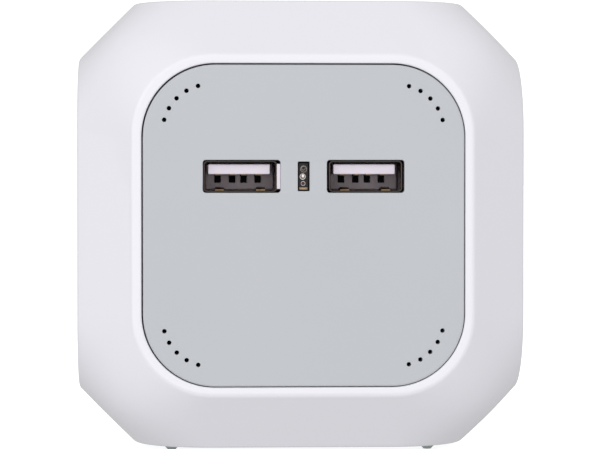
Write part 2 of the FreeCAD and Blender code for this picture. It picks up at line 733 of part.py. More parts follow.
def make_bus_bars():
    """Stamped strips through the middle of the cube, drawn as corner to corner blocks in X, Y, Z."""
    half = "dims.strip / 2"
    clip, level, thick = "dims.clip_half", "dims.clip_level", "dims.clip_thick"
    low = f"-dims.clip_out - {thick}"
    bars = {
        "line_busbar": [
            (f"-{half}", half, "-12.5", "0.6", "-2.8", "2.5"),
            ("-12", half, "-4.4", "0.6", "1.5", "2.5"),
            (f"-{half}", half, "-12.5", "2.6", "-12.5", "-6.5"),
            (f"-{half}", half, "-12.5", "-6.5", "-24", "2.5"),
        ],
        "neutral_busbar": [
            (f"-{half}", half, "4", "12.5", "-2.8", "2.8"),
            ("-2", "12", "1.6", "4.4", "-1.5", "-0.5"),
            ("-2", "2", "1.6", "2.6", "-1.5", "12"),
            ("7.5", "11.5", "-0.6", "4.4", "-1.5", "-0.5"),
            ("7.5", "11.5", "-0.6", "0.4", "-1.5", "2.5"),
            ("5.6", "6.6", "1.6", "4.4", "-24", "-0.5"),
        ],
        "earth_busbar": [
            (f"-({level} + {thick})", f"{level} + {thick}",
             f"-{clip}", "0.8", low, "-dims.clip_out"),
            (f"-{clip}", clip, "-1", f"{level} + {thick}", low, "-dims.clip_out"),
            (f"-{clip}", clip, level, f"{level} + {thick}", low, f"-{clip}"),
            (f"-({level} + {thick})", "-14", f"-{clip}", "0.8", "-24", "-dims.clip_out"),
        ],
    }
    for label, spans in bars.items():
        blocks = [block(f"{label}_{number}", *span) for number, span in enumerate(spans)]
        if label == "earth_busbar":
            riser = block("earth_riser", f"-{clip}", clip, level, f"{level} + {thick}", clip, level)
            finish(grouped(label, [joined("earth_strap", "Part::MultiFuse", blocks), riser]))
        else:
            finish(fused(label, blocks))


# ---------------------------------------------------------------- USB charger, in the front face's axes

BOARD_TOP = "(dims.board_level + dims.board_thick)"


def make_board():
    body = new_body("usb_board")
    outline = sketch_in(body, level="dims.board_level")
    far, near = "dims.board_half", "(dims.board_half - dims.board_cut)"
    draw_polygon(outline, [
        (far, f"-{near}"), (far, near), (near, far), (f"-{near}", far),
        (f"-{far}", near), (f"-{far}", f"-{near}"), (f"-{near}", f"-{far}"), (near, f"-{far}"),
    ])
    grow(body, outline, "dims.board_thick")
    holes = sketch_in(body, level="dims.board_level")
    for side in (1, -1):
        for height in ("dims.boss_upper", "dims.boss_lower"):
            draw_circle(holes, "dims.boss_hole + 0.2", f"{side} * dims.boss_across", height)
    cut(body, holes, "dims.board_thick", back=True)
    finish(body, FACES["front"])
    screws = []
    for side in (1, -1):
        for height in ("dims.boss_upper", "dims.boss_lower"):
            x, number = f"{side} * dims.boss_across", len(screws)
            head = rod(f"board_head_{number}", "2", "1.4", x, height, "dims.board_level - 1.4")
            shank = rod(f"board_shank_{number}", "dims.boss_hole - 0.05", "8",
                        x, height, "dims.board_level - 0.5")
            screws.append(joined(f"board_screw_{number}", "Part::MultiFuse", [head, shank]))
    finish(grouped("board_screws", screws), FACES["front"])


def make_port(side, shift):
    """A USB-A receptacle: folded metal shell, white tongue and four contacts under it."""
    middle, height = f"({shift})", "dims.port_height"
    front = f"({HALF} - dims.port_recess)"
    half_x, half_y, skin = "dims.port_width / 2", "dims.port_tall / 2", "dims.port_skin"
    shell = new_body("usb_shell_" + side)
    outline = sketch_in(shell, level=BOARD_TOP)
    draw_rounded(outline, half_x, half_y, "0.7", middle, height)
    grow(shell, outline, f"{front} - {BOARD_TOP}")
    hollow = sketch_in(shell, level=front)
    draw_rounded(hollow, f"{half_x} - {skin}", f"{half_y} - {skin}", "0.45", middle, height)
    cut(shell, hollow, f"{front} - {BOARD_TOP}")
    springs = sketch_in(shell, level=f"{front} - 6")
    for other in (1, -1):
        draw_rectangle(springs, f"{middle} + {other} * 3.6 - 1", f"{middle} + {other} * 3.6 + 1",
                       f"{height} - {half_y} + {skin} / 2", f"{height} - {half_y} + {skin} + 0.3")
    grow(shell, springs, "4")
    finish(shell, FACES["front"])

    insulator = new_body("usb_tongue_" + side)
    back = sketch_in(insulator, level=BOARD_TOP)
    inset = f"({skin} + 0.05)"
    draw_rounded(back, f"{half_x} - {inset}", f"{half_y} - {inset}", "0.4", middle, height)
    grow(insulator, back, f"dims.insulator_level - {BOARD_TOP}")
    top = f"{height} + {half_y} - dims.tongue_drop"
    tongue = sketch_in(insulator, level="dims.insulator_level - 0.5")
    draw_rectangle(tongue, f"{middle} - dims.tongue_width / 2", f"{middle} + dims.tongue_width / 2",
                   f"{top} - dims.tongue_thick", top)
    grow(insulator, tongue, f"{front} - dims.tongue_recess - dims.insulator_level + 0.5")
    pockets = sketch_in(insulator, level="dims.insulator_level")
    for place in (-3.5, -1, 1, 3.5):
        draw_rectangle(pockets, f"{middle} + {place} - 0.55", f"{middle} + {place} + 0.55",
                       f"{top} - dims.tongue_thick - 1.35", f"{top} - dims.tongue_thick")
    cut(insulator, pockets, "2.5")
    finish(insulator, FACES["front"])

    under = f"{top} - dims.tongue_thick"
    contacts = [
        block(f"contact_{side}_{number}", f"{middle} + {place} - 0.45", f"{middle} + {place} + 0.45",
              f"{under} - 0.3", under, "dims.insulator_level - 2.4", f"{front} - dims.tongue_recess - 1.5")
        for number, place in enumerate((-3.5, -1, 1, 3.5))
    ]
    finish(grouped("usb_contacts_" + side, contacts), FACES["front"])


def make_transformer():
    low, high = f"{BOARD_TOP} + 0.6", f"{BOARD_TOP} + 10.4"
    core = block("core_block", "-8", "8", "-13", "-1", low, high)
    windows = [
        block(f"core_window_{number}", x_low, x_high, "-14", "0", f"{low} + 1.7", f"{high} - 1.7")
        for number, (x_low, x_high) in enumerate((("2.4", "5.6"), ("-5.6", "-2.4")))
    ]
    openings = joined("core_windows", "Part::MultiFuse", windows)
    finish(cut_away("transformer_core", core, openings), FACES["front"])
    winding = block("winding", "-5.4", "5.4", "-14.8", "0.8", f"{low} + 1.9", f"{high} - 1.9")
    feet = [
        block("coil_foot_low", "-5.4", "5.4", "-14.8", "-13.4", BOARD_TOP, f"{low} + 2.5"),
        block("coil_foot_high", "-5.4", "5.4", "-0.6", "0.8", BOARD_TOP, f"{low} + 2.5"),
    ]
    leg = block("coil_leg_gap", "-2.6", "2.6", "-13.2", "-0.8", low, high)
    whole = joined("coil_whole", "Part::MultiFuse", [winding] + feet)
    finish(cut_away("transformer_coil", whole, leg), FACES["front"])


def make_capacitor(label, radius, length, x, y):
    """A can capacitor standing on the board, with the rolled groove near its foot."""
    body = new_body(label)
    groove = f"{BOARD_TOP} + {length} * 0.2"
    spin(body, [
        ("0", BOARD_TOP), (radius, BOARD_TOP), (radius, f"{groove} - 0.5"), (f"{radius} - 0.35", groove),
        (radius, f"{groove} + 0.5"), (radius, f"{BOARD_TOP} + {length} - 0.3"),
        (f"{radius} - 0.3", f"{BOARD_TOP} + {length}"), ("0", f"{BOARD_TOP} + {length}"),
    ])
    finish(body, FACES["front"])
    body.Placement.Base = body.Placement.Base + FACES["front"].multVec(V(x, y, 0))
    body.setExpression("Placement.Base.z", f"{CENTRE} + {y}")


def make_board_parts():
    make_transformer()
    make_capacitor("mains_capacitor", "4", "10.5", -15, -19)
    make_capacitor("output_capacitor", "3.15", "9", 14.5, -18.5)
    sideways = FreeCAD.Rotation(V(0, 1, 0), 90)
    tube = rod("fuse_tube", "1.7", "9", "-4.5", "-20.5", f"{BOARD_TOP} + 2.4", sideways)
    caps = [rod(f"fuse_cap_{number}", "1.95", "2.2", start, "-20.5", f"{BOARD_TOP} + 2.4", sideways)
            for number, start in enumerate(("-5.5", "3.3"))]
    legs = [block(f"fuse_leg_{number}", x_low, x_high, "-20.8", "-20.2", BOARD_TOP, f"{BOARD_TOP} + 2")
            for number, (x_low, x_high) in enumerate((("-4.7", "-4.1"), ("4.1", "4.7")))]
    finish(fused("fuse", [tube] + caps + legs), FACES["front"])
    for label, middle, across, up, tall in (
        ("bridge_rectifier", "-15", ("-7", "-3"), ("-6", "-4"), "2.6"),
        ("charger_chip", "15", ("-8", "-4"), ("-7.5", "-4.5"), "1.8"),
    ):
        case = block(label + "_case", f"{middle} - 2.5", f"{middle} + 2.5", *across,
                     f"{BOARD_TOP} + 0.2", f"{BOARD_TOP} + {tall}")
        leads = block(label + "_leads", f"{middle} - 3.5", f"{middle} + 3.5", *up,
                      BOARD_TOP, f"{BOARD_TOP} + 0.4")
        finish(fused(label, [case, leads]), FACES["front"])


def make_lamp():
    """A 2 x 5 mm rectangular LED on two tall leads behind its window."""
    x, y = "dims.lamp_width / 2", "dims.lamp_tall / 2"
    back = f"{HALF} - 7"
    lens = block("lamp_lens", f"-{x}", x, f"dims.port_height - {y}", f"dims.port_height + {y}",
                 back, f"{HALF} - 1.2")
    finish(grouped("indicator_led", [lens]), FACES["front"])
    leads = [
        block(f"lamp_lead_{number}", "-0.25", "0.25", f"dims.port_height + {place} - 0.25",
              f"dims.port_height + {place} + 0.25", BOARD_TOP, back)
        for number, place in enumerate(("1.27", "(-1.27)"))
    ]
    finish(grouped("led_leads", leads), FACES["front"])


def make_terminals():
    """A screw terminal on the lower end of each bus bar, for the three cores of the mains cord."""
    spots = (("0", "-9.5"), ("6.1", "3"), ("-15.9", "-1.1"))
    clamps, screws = [], []
    for number, (x, y) in enumerate(spots):
        clamp = block(f"clamp_{number}", f"{x} - 3", f"{x} + 3", f"{y} - 3", f"{y} + 3", "-30.5", "-24")
        core = rod(f"core_hole_{number}", "1.3", "7", x, f"{y} - 3.5", "-27.5", ALONG_Y)
        drop = rod(f"screw_hole_{number}", "1.5", "3.6", x, y, "-31")
        hollow = joined(f"clamp_hollow_{number}", "Part::MultiFuse", [core, drop])
        clamps.append(cut_away(f"clamp_open_{number}", clamp, hollow))
        screw = rod(f"clamp_screw_{number}", "1.4", "3", x, y, "-31.3")
        slot = block(f"clamp_slot_{number}", f"{x} - 1.6", f"{x} + 1.6",
                     f"{y} - 0.25", f"{y} + 0.25", "-31.4", "-30.7")
        screws.append(cut_away(f"clamp_screw_slotted_{number}", screw, slot))
    finish(grouped("cord_terminals", clamps))
    finish(grouped("terminal_screws", screws))


def make_supply_leads():
    """Two insulated leads from the bus bars' lower legs to the back of the charger board."""
    length = "dims.board_level"
    line = rod("line_lead", "0.9", f"{length} - 12.5", "0", "-dims.board_level", "-15", ALONG_Y)
    neutral = rod("neutral_lead", "0.9", f"{length} + 1.6", "6.1", "-dims.board_level", "-15", ALONG_Y)
    finish(grouped("supply_leads", [line, neutral]))


# ---------------------------------------------------------------- build and export

make_housing()
make_housing_screws()
make_inlet()
make_front_panel()
make_base()
make_outlets()
make_bus_bars()
make_board()
make_port("left", "-dims.port_offset - dims.port_slip")
make_port("right", "dims.port_offset")
make_board_parts()
make_lamp()
make_terminals()
make_supply_leads()
doc.recompute()

for item in doc.Objects:
    if {"Invalid", "Error"} & set(item.State):
        raise RuntimeError(f"{item.Label} failed: {item.State}")
for piece in PIECES:
    if piece.Shape.isNull() or not piece.Shape.isValid() or not piece.Shape.Solids:
        raise RuntimeError(f"{piece.Label} has no valid solid")

os.makedirs("parts", exist_ok=True)
for piece in PIECES:
    piece.Shape.exportStep(f"parts/{piece.Label}.step")
print(f"{len(PIECES)} pieces")
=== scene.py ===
import math

import bmesh
import bpy
import numpy as np
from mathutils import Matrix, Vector


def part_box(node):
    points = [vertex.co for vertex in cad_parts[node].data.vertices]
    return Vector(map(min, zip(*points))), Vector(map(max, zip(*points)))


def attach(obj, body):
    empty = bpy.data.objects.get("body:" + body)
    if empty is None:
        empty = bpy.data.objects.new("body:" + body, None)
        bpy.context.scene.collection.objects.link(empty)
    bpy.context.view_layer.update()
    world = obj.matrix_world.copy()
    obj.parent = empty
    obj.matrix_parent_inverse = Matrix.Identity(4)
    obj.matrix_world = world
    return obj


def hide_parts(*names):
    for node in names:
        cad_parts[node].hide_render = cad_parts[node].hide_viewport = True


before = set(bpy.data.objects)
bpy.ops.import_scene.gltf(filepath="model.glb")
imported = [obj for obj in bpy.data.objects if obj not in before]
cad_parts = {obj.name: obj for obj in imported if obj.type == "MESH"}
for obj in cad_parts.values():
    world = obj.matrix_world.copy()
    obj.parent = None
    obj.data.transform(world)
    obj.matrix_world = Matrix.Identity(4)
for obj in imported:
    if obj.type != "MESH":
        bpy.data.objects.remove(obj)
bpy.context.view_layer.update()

mm = 0.001
# points this close are made one, on small pieces and on the shells and CAD pieces
weldMm, wideWeldMm = 0.002, 0.004

# Everything is drawn in millimetres about the middle of the cube, which the frame gives
houseLow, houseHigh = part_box("front_housing")
half = (houseHigh.x - houseLow.x) / 2 / mm
cubeMiddle = np.array([0, 0, (houseLow.z + houseHigh.z) / 2 / mm])
print(f"cube of {2 * half:.1f} mm, middle {cubeMiddle[2]:.1f} mm up")

# For each face, the direction across it and the one out of it
faceAxes = {
    "front": ((1, 0, 0), (0, -1, 0)), "rear": ((0, 0, 1), (0, 1, 0)), "left": ((0, -1, 0), (-1, 0, 0)),
    "right": ((0, 1, 0), (1, 0, 0)), "top": ((1, 0, 0), (0, 0, 1)), "bottom": ((1, 0, 0), (0, 0, -1)),
}
outletFaces = ("left", "right", "rear", "top")


def turnOf(across, out):
    # columns are the local x, y and z directions
    across, out = np.array(across, float), np.array(out, float) / np.linalg.norm(out)
    return np.stack([across, np.cross(out, across), out], axis=1)


def faceTurn(face):
    return turnOf(*faceAxes[face])


# ---- colours and materials

def srgb(code):
    # a hex colour as linear light: the low end is a straight line, the rest a power of 2.4
    parts = np.array([int(code[i:i + 2], 16) for i in (0, 2, 4)]) / 255
    linear = np.where(parts <= 0.04045, parts / 12.92, ((parts + 0.055) / 1.055) ** 2.4)
    return (*linear.tolist(), 1.0)


def addNode(tree, kind, settings=None, links=None):
    # one node with its settings, on sockets or on the node itself, and the links into it
    node = tree.nodes.new(kind)
    for key, value in (settings or {}).items():
        if isinstance(key, int) or key in node.inputs:
            node.inputs[key].default_value = value
        else:
            setattr(node, key, value)
    for key, source in (links or {}).items():
        tree.links.new(source, node.inputs[key])
    return node


def finishOf(name, look):
    # base colour drifts between two close tints, roughness wanders, and a fine grain is bumped in;
    # stretch is how much longer the grain is along each axis, as on drawn or brushed metal
    material = bpy.data.materials.new(name)
    material.use_nodes = True
    tree = material.node_tree
    tree.nodes.clear()
    place = addNode(tree, "ShaderNodeTexCoord").outputs["Object"]
    stretch = look.get("stretch", (1, 1, 1))
    if stretch != (1, 1, 1):
        scale = {"Scale": [1 / s for s in stretch]}
        place = addNode(tree, "ShaderNodeMapping", scale, {"Vector": place}).outputs[0]
    drift, grain = [
        addNode(tree, "ShaderNodeTexNoise", {"Scale": 1 / (look[size] * mm), "Detail": detail},
                {"Vector": place}).outputs["Fac"]
        for size, detail in (("driftMm", 3.0), ("grainMm", 2.0))]
    tint = addNode(tree, "ShaderNodeMix", {
        "data_type": "RGBA", 6: srgb(look["colour"]), 7: srgb(look["tint"])}, {0: drift})
    # the noise seldom leaves 0.3 to 0.7
    low, high = look["roughness"]
    rough = addNode(tree, "ShaderNodeMapRange", {
        "From Min": 0.3, "From Max": 0.7, "To Min": low, "To Max": high}, {"Value": drift})
    bump = addNode(tree, "ShaderNodeBump", {
        "Strength": look["bump"], "Distance": look["bumpMm"] * mm}, {"Height": grain})
    shader = addNode(tree, "ShaderNodeBsdfPrincipled", look.get("sockets"), {
        "Base Color": tint.outputs[2], "Roughness": rough.outputs["Result"],
        "Normal": bump.outputs["Normal"]})
    output = addNode(tree, "ShaderNodeOutputMaterial")
    tree.links.new(shader.outputs[0], output.inputs["Surface"])
    return material


looks = {
    # polished ABS: milky white, a clear gloss, and a very slight orange peel
    "glossyAbs": dict(
        colour="F1F0F7", tint="EFEEF5", driftMm=30, grainMm=2.5, roughness=(0.20, 0.26), bump=0.05,
        bumpMm=0.02, sockets={"IOR": 1.49, "Coat Weight": 0.25, "Coat Roughness": 0.12}),
    # spark-textured polycarbonate: even light grey, satin, with a fine grain
    "satinPolycarbonate": dict(
        colour="C3C6CB", tint="C1C4C9", driftMm=26, grainMm=0.25, roughness=(0.42, 0.50), bump=0.10,
        bumpMm=0.02, sockets={"IOR": 1.5}),
    # moulded synthetic rubber: almost black with a green cast, dull
    "mouldedRubber": dict(
        colour="2B302D", tint="343A36", driftMm=3, grainMm=0.3, roughness=(0.6, 0.75), bump=0.3,
        bumpMm=0.03, sockets={"IOR": 1.52}),
    # black, fully dull sheet behind the vents: painted shade that keeps the vent holes dark
    "ventShadeBlack": dict(
        colour="08080A", tint="0E0E10", driftMm=1, grainMm=0.15, roughness=(0.85, 0.95), bump=0.5,
        bumpMm=0.05, sockets={"Specular IOR Level": 0.1}),
    # silicone of the feet: translucent grey with a green cast, dull
    "footSilicone": dict(
        colour="9AA3A0", tint="8F9996", driftMm=2, grainMm=0.3, roughness=(0.45, 0.6), bump=0.15,
        bumpMm=0.02, sockets={"IOR": 1.42}),
    # nickel-plated brass strip: bright, warm grey, lightly scuffed along its length
    "nickelStrip": dict(
        colour="CFCBC2", tint="BDB8AE", driftMm=4, grainMm=0.35, roughness=(0.18, 0.34), bump=0.12,
        bumpMm=0.01, stretch=(1, 1, 5), sockets={"Metallic": 1.0}),
    # stamped brass of the contacts and bus bars
    "stampedBrass": dict(
        colour="D9B76A", tint="C9A24E", driftMm=6, grainMm=0.4, roughness=(0.25, 0.4), bump=0.15,
        bumpMm=0.01, stretch=(1, 1, 4), sockets={"Metallic": 1.0}),
    # zinc-plated screw steel
    "zincSteel": dict(
        colour="B4B6B8", tint="9EA1A4", driftMm=1.5, grainMm=0.3, roughness=(0.28, 0.45), bump=0.15,
        bumpMm=0.01, sockets={"Metallic": 1.0}),
    # folded steel of the ports, painted dark brown as the shade deep in the windows, with rolling lines and a
    # thin glint at the mouth
    "shadedPortSteel": dict(
        colour="564B47", tint="433B38", driftMm=2, grainMm=0.2, roughness=(0.22, 0.32), bump=0.08,
        bumpMm=0.006, stretch=(6, 1, 1), sockets={"Metallic": 1.0}),
    # gilded spring fingers inside the ports, the gold darkened to a dim brown as painted shade deep in the port
    "shadedGoldSpring": dict(
        colour="8C7452", tint="6E5A42", driftMm=1, grainMm=0.2, roughness=(0.25, 0.4), bump=0.08,
        bumpMm=0.006, sockets={"Metallic": 1.0}),
    # glass-filled nylon of the port tongues: white with a violet cast
    "portNylon": dict(
        colour="E8E0EA", tint="DDD4E0", driftMm=3, grainMm=0.2, roughness=(0.3, 0.4), bump=0.06,
        bumpMm=0.01, sockets={"IOR": 1.53}),
    # darker nylon of the block behind the tongue: warm grey
    "portWell": dict(
        colour="B3A5AC", tint="A6989F", driftMm=3, grainMm=0.3, roughness=(0.35, 0.5), bump=0.1,
        bumpMm=0.01, sockets={"IOR": 1.53}),
    # near-black boxes on the back wall: painted shade standing in for the dark contact slots
    "slotShadeBlack": dict(
        colour="050506", tint="09080A", driftMm=1, grainMm=0.3, roughness=(0.7, 0.8), bump=0.1,
        bumpMm=0.01, sockets={"Specular IOR Level": 0.15}),
    # bright spring wire
    "springWire": dict(
        colour="C2C3C5", tint="AEB0B3", driftMm=1, grainMm=0.2, roughness=(0.25, 0.35), bump=0.1,
        bumpMm=0.005, sockets={"Metallic": 1.0}),
    # unpigmented polyamide of the inner carriers
    "naturalPolyamide": dict(
        colour="E3DFD3", tint="D8D3C5", driftMm=8, grainMm=0.4, roughness=(0.45, 0.55), bump=0.1,
        bumpMm=0.02, sockets={"IOR": 1.53}),
    # moulded grey nylon of the shutters
    "shutterNylon": dict(
        colour="D4D6DA", tint="CBCDD2", driftMm=5, grainMm=0.25, roughness=(0.35, 0.45), bump=0.08,
        bumpMm=0.01, sockets={"IOR": 1.53}),
    # green solder mask over woven glass
    "solderMask": dict(
        colour="1F6B3E", tint="185A33", driftMm=4, grainMm=0.5, roughness=(0.25, 0.4), bump=0.2,
        bumpMm=0.01, sockets={"Coat Weight": 0.3}),
    # sintered ferrite: dull charcoal, faintly pitted
    "sinteredFerrite": dict(
        colour="3A3B3E", tint="2C2D30", driftMm=1.2, grainMm=0.25, roughness=(0.5, 0.65), bump=0.4,
        bumpMm=0.02),
    # yellow polyester winding tape
    "windingTape": dict(
        colour="E7B93A", tint="D9A627", driftMm=3, grainMm=0.6, roughness=(0.3, 0.42), bump=0.1,
        bumpMm=0.02, sockets={"IOR": 1.6}),
    # shrunk PVC sleeve over an aluminium can
    "canSleeve": dict(
        colour="1C2A44", tint="223150", driftMm=3, grainMm=0.5, roughness=(0.25, 0.35), bump=0.06,
        bumpMm=0.01),
    # drawn glass of the fuse
    "fuseGlass": dict(
        colour="DDE6E4", tint="D2DDDA", driftMm=3, grainMm=0.8, roughness=(0.05, 0.1), bump=0.03,
        bumpMm=0.005, sockets={"Transmission Weight": 0.6, "IOR": 1.5}),
    # moulded epoxy of chip packages
    "chipEpoxy": dict(
        colour="26272A", tint="2E2F33", driftMm=2, grainMm=0.2, roughness=(0.45, 0.55), bump=0.2,
        bumpMm=0.01),
    # PVC insulation of the inner leads
    "leadPvc": dict(
        colour="2B4C8C", tint="26447E", driftMm=3, grainMm=0.5, roughness=(0.35, 0.45), bump=0.1,
        bumpMm=0.01),
    # smoked epoxy of the lamp: almost black, with a soft sheen
    "lampEpoxy": dict(
        colour="262022", tint="342C2A", driftMm=1.2, grainMm=0.5, roughness=(0.25, 0.35), bump=0.05,
        bumpMm=0.01, sockets={"IOR": 1.3}),
    # silvered cup round the lamp's chip
    "lampCup": dict(
        colour="F1ECE6", tint="D9D2CB", driftMm=0.5, grainMm=0.2, roughness=(0.15, 0.25), bump=0.05,
        bumpMm=0.004, sockets={"Metallic": 0.6}),
    # the lamp's unlit chip
    "lampChip": dict(
        colour="6B2A22", tint="4F1F1B", driftMm=0.4, grainMm=0.2, roughness=(0.3, 0.4), bump=0.05,
        bumpMm=0.004),
    # tan lead-frame end at the foot of the lamp
    "lampFrame": dict(
        colour="B79A7C", tint="A4876A", driftMm=0.6, grainMm=0.2, roughness=(0.3, 0.4), bump=0.05,
        bumpMm=0.004, sockets={"Metallic": 0.4}),
}
finishes = {name: finishOf(name, look) for name, look in looks.items()}
print(f"{len(finishes)} finishes")


# ---- making meshes

def gridQuads(rows, columns, closeRows=False, closeColumns=True):
    # the four corners of each cell of a rows by columns grid of points, wrapped round where closed
    r = np.arange(rows if closeRows else rows - 1)[:, None]
    c = np.arange(columns if closeColumns else columns - 1)[None, :]
    r2, c2 = (r + 1) % rows, (c + 1) % columns
    corners = [r * columns + c, r * columns + c2, r2 * columns + c2, r2 * columns + c]
    return np.stack(corners, axis=-1).reshape(-1, 4)


def inWorld(points, turn, shift=(0, 0, 0)):
    # local millimetres to metres in the frame
    flat = np.asarray(points, float).reshape(-1, 3) + np.array(shift, float)
    return (flat @ np.asarray(turn).T + cubeMiddle) * mm


def addMesh(name, points, faces):
    mesh = bpy.data.meshes.new(name)
    mesh.from_pydata(points.tolist(), [], [tuple(f) for f in faces])
    mesh.validate()
    piece = bpy.data.objects.new(name, mesh)
    bpy.context.scene.collection.objects.link(piece)
    return piece


def tidyMesh(piece, caps):
    # merges doubles, closes the outlines given as groups of point loops, and turns faces outwards
    work = bmesh.new()
    work.from_mesh(piece.data)
    work.verts.ensure_lookup_table()
    for loops in caps:
        edges = []
        for loop in loops:
            for a, b in zip(loop, loop[1:] + loop[:1]):
                pair = (work.verts[a], work.verts[b])
                edges.append(work.edges.get(pair) or work.edges.new(pair))
        bmesh.ops.triangle_fill(work, use_beauty=True, use_dissolve=False, edges=edges)
    bmesh.ops.remove_doubles(work, verts=work.verts[:], dist=weldMm * mm)
    bmesh.ops.dissolve_degenerate(work, edges=work.edges[:], dist=1e-7)
    bmesh.ops.recalc_face_normals(work, faces=work.faces[:])
    work.to_mesh(piece.data)
    work.free()


def dress(piece, finish, body="cube", replaced=(), crease=38):
    piece.data.materials.clear()
    piece.data.materials.append(finishes[finish])
    piece.data.polygons.foreach_set("use_smooth", np.ones(len(piece.data.polygons), bool))
    piece.data.set_sharp_from_angle(angle=math.radians(crease))
    even = piece.modifiers.new("evenShading", "WEIGHTED_NORMAL")
    even.weight = 70
    even.keep_sharp = True
    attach(piece, body)
    if replaced:
        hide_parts(*replaced)
    return piece


def ringPoints(halfX, halfY, radius, perCorner=10, x=0.0, y=0.0):
    # a rounded rectangle as one loop: four quarter circles whose ends the straight sides join
    if halfX <= radius and halfY <= radius:
        angle = np.linspace(0, 2 * np.pi, 4 * perCorner, endpoint=False)
        return np.stack([x + radius * np.cos(angle), y + radius * np.sin(angle)], axis=1)
    angle = np.radians(np.concatenate([np.linspace(q, q + 90, perCorner) for q in (0, 90, 180, 270)]))
    sideX = np.repeat([1, -1, -1, 1], perCorner)
    sideY = np.repeat([1, 1, -1, -1], perCorner)
    return np.stack([x + sideX * (halfX - radius) + radius * np.cos(angle),
                     y + sideY * (halfY - radius) + radius * np.sin(angle)], axis=1)


def atHeight(ring, z):
    # a flat ring lifted to one height, or to one for each of its points
    return np.column_stack([ring, np.broadcast_to(z, len(ring))])


def stack(rows, perCorner=10, x=0.0, y=0.0):
    # rounded rectangles at successive heights; each row is (half across, half up, corner radius, height)
    return np.array([atHeight(ringPoints(a, b, r, perCorner, x, y), z) for a, b, r, z in rows])


def turned(profile, segments=64, x=0.0, y=0.0):
    # a profile of (radius, height) carried round the z axis
    angle = np.linspace(0, 2 * np.pi, segments, endpoint=False)
    profile = np.asarray(profile, float)
    r, z = profile[:, :1], profile[:, 1:]
    return np.stack([x + r * np.cos(angle), y + r * np.sin(angle), z + 0 * angle], axis=-1)


def quarter(radius, start, stop, steps=5):
    # points of an arc between two angles in degrees, about the origin
    angle = np.radians(np.linspace(start, stop, steps))
    return np.stack([radius * np.cos(angle), radius * np.sin(angle)], axis=1)


def addGrids(name, grids, turn, caps=(), shift=(0, 0, 0), closeRows=()):
    # several grids of points as one mesh; a cap is a list of (grid, row) whose outlines bound a flat face
    points, faces, starts = [], [], []
    for number, grid in enumerate(grids):
        rows, columns = grid.shape[:2]
        starts.append((sum(len(p) for p in points), columns))
        faces.append(gridQuads(rows, columns, closeRows=number in closeRows) + starts[-1][0])
        points.append(grid.reshape(-1, 3))
    piece = addMesh(name, inWorld(np.concatenate(points), turn, shift), np.concatenate(faces))
    loops = []
    for cap in caps:
        group = []
        for number, row in cap:
            start, columns = starts[number]
            row %= grids[number].shape[0]
            group.append((start + row * columns + np.arange(columns)).tolist())
        loops.append(group)
    tidyMesh(piece, loops)
    return piece


def pulledBall(sizes, radius, centre=(0, 0, 0), steps=4):
    # a ball of that radius pulled apart along x, y and z into a box with round edges
    around = np.radians(np.concatenate([np.linspace(q, q + 90, steps + 1) for q in (0, 90, 180, 270)]))
    signX = np.repeat([1, -1, -1, 1], steps + 1)
    signY = np.repeat([1, 1, -1, -1], steps + 1)
    up = np.radians(np.concatenate([np.linspace(-90, 0, steps + 1), np.linspace(0, 90, steps + 1)]))
    signZ = np.repeat([-1, 1], steps + 1)
    spread = np.array(sizes) / 2 - radius
    x = signX * spread[0] + radius * np.cos(up)[:, None] * np.cos(around)
    y = signY * spread[1] + radius * np.cos(up)[:, None] * np.sin(around)
    z = (signZ * spread[2] + radius * np.sin(up))[:, None] + 0 * around
    ball = np.stack([x, y, z], axis=-1)
    ends = [np.broadcast_to([0, 0, s * sizes[2] / 2], ball[:1].shape) for s in (-1, 1)]
    return np.concatenate([ends[0], ball, ends[1]]) + np.array(centre)


# ---- housing: two glossy halves

housing = dict(
    lipHalf=29.9, lipRadius=14.0, lipRound=1.3, openHalf=28.4, openRadius=12.9, edgeRound=0.3, wall=2.4,
    parting=0.05, sideSteps=14, arcSteps=41, bevelSteps=22, cornerLead=0.85, cornerTail=12.0,
    smoothReach=5.0, smoothRounds=20, postOffset=28.8, postRadius=3.8, postSunk=1.5, postSegments=48,
    headBore=3.1, headSeat=12.2, boreEnd=60, inletBore=5.1)
lipCentre = housing["lipHalf"] - housing["lipRadius"]

# columns of a quarter of a rounded square, from the middle of one side round the corner to the middle of
# the next: which way each faces, and where it is centred, as a share of the corner's centre
alongSide = np.linspace(0, 1, housing["sideSteps"], endpoint=False)
facing = np.concatenate([
    0 * alongSide, np.linspace(0, np.pi / 2, housing["arcSteps"]), 0 * alongSide + np.pi / 2])
facingWay = np.stack([np.cos(facing), np.sin(facing)], axis=1)
ownCentre = np.ones((len(facing), 2))
ownCentre[:len(alongSide), 1] = alongSide
ownCentre[-len(alongSide):, 0] = [*(1 - alongSide[1:]), 0]


def cornerRing(halfWidth, radius):
    return (halfWidth - radius) * ownCentre + radius * facingWay


def diagonalCurve():
    # across a corner's diagonal, (distance out, depth) as a cubic curve: it leaves the lip square to the
    # line through the cube's corner and ends along the bevel between the other two faces
    s = housing
    start = np.array([lipCentre * math.sqrt(2) + s["lipRadius"], 0])
    end = np.array([(half + s["lipHalf"]) / math.sqrt(2), half - lipCentre])
    lead = s["cornerLead"] * (end[0] - start[0]) * np.array([1, math.sqrt(0.5)])
    knots = [start, 3 * (start + lead), 3 * (end - [0, s["cornerTail"]]), end]
    u = np.linspace(0, 1, 300)[:, None]
    return sum(knot * u ** n * (1 - u) ** (3 - n) for n, knot in enumerate(knots)).T


cornerOut, cornerDepth = diagonalCurve()


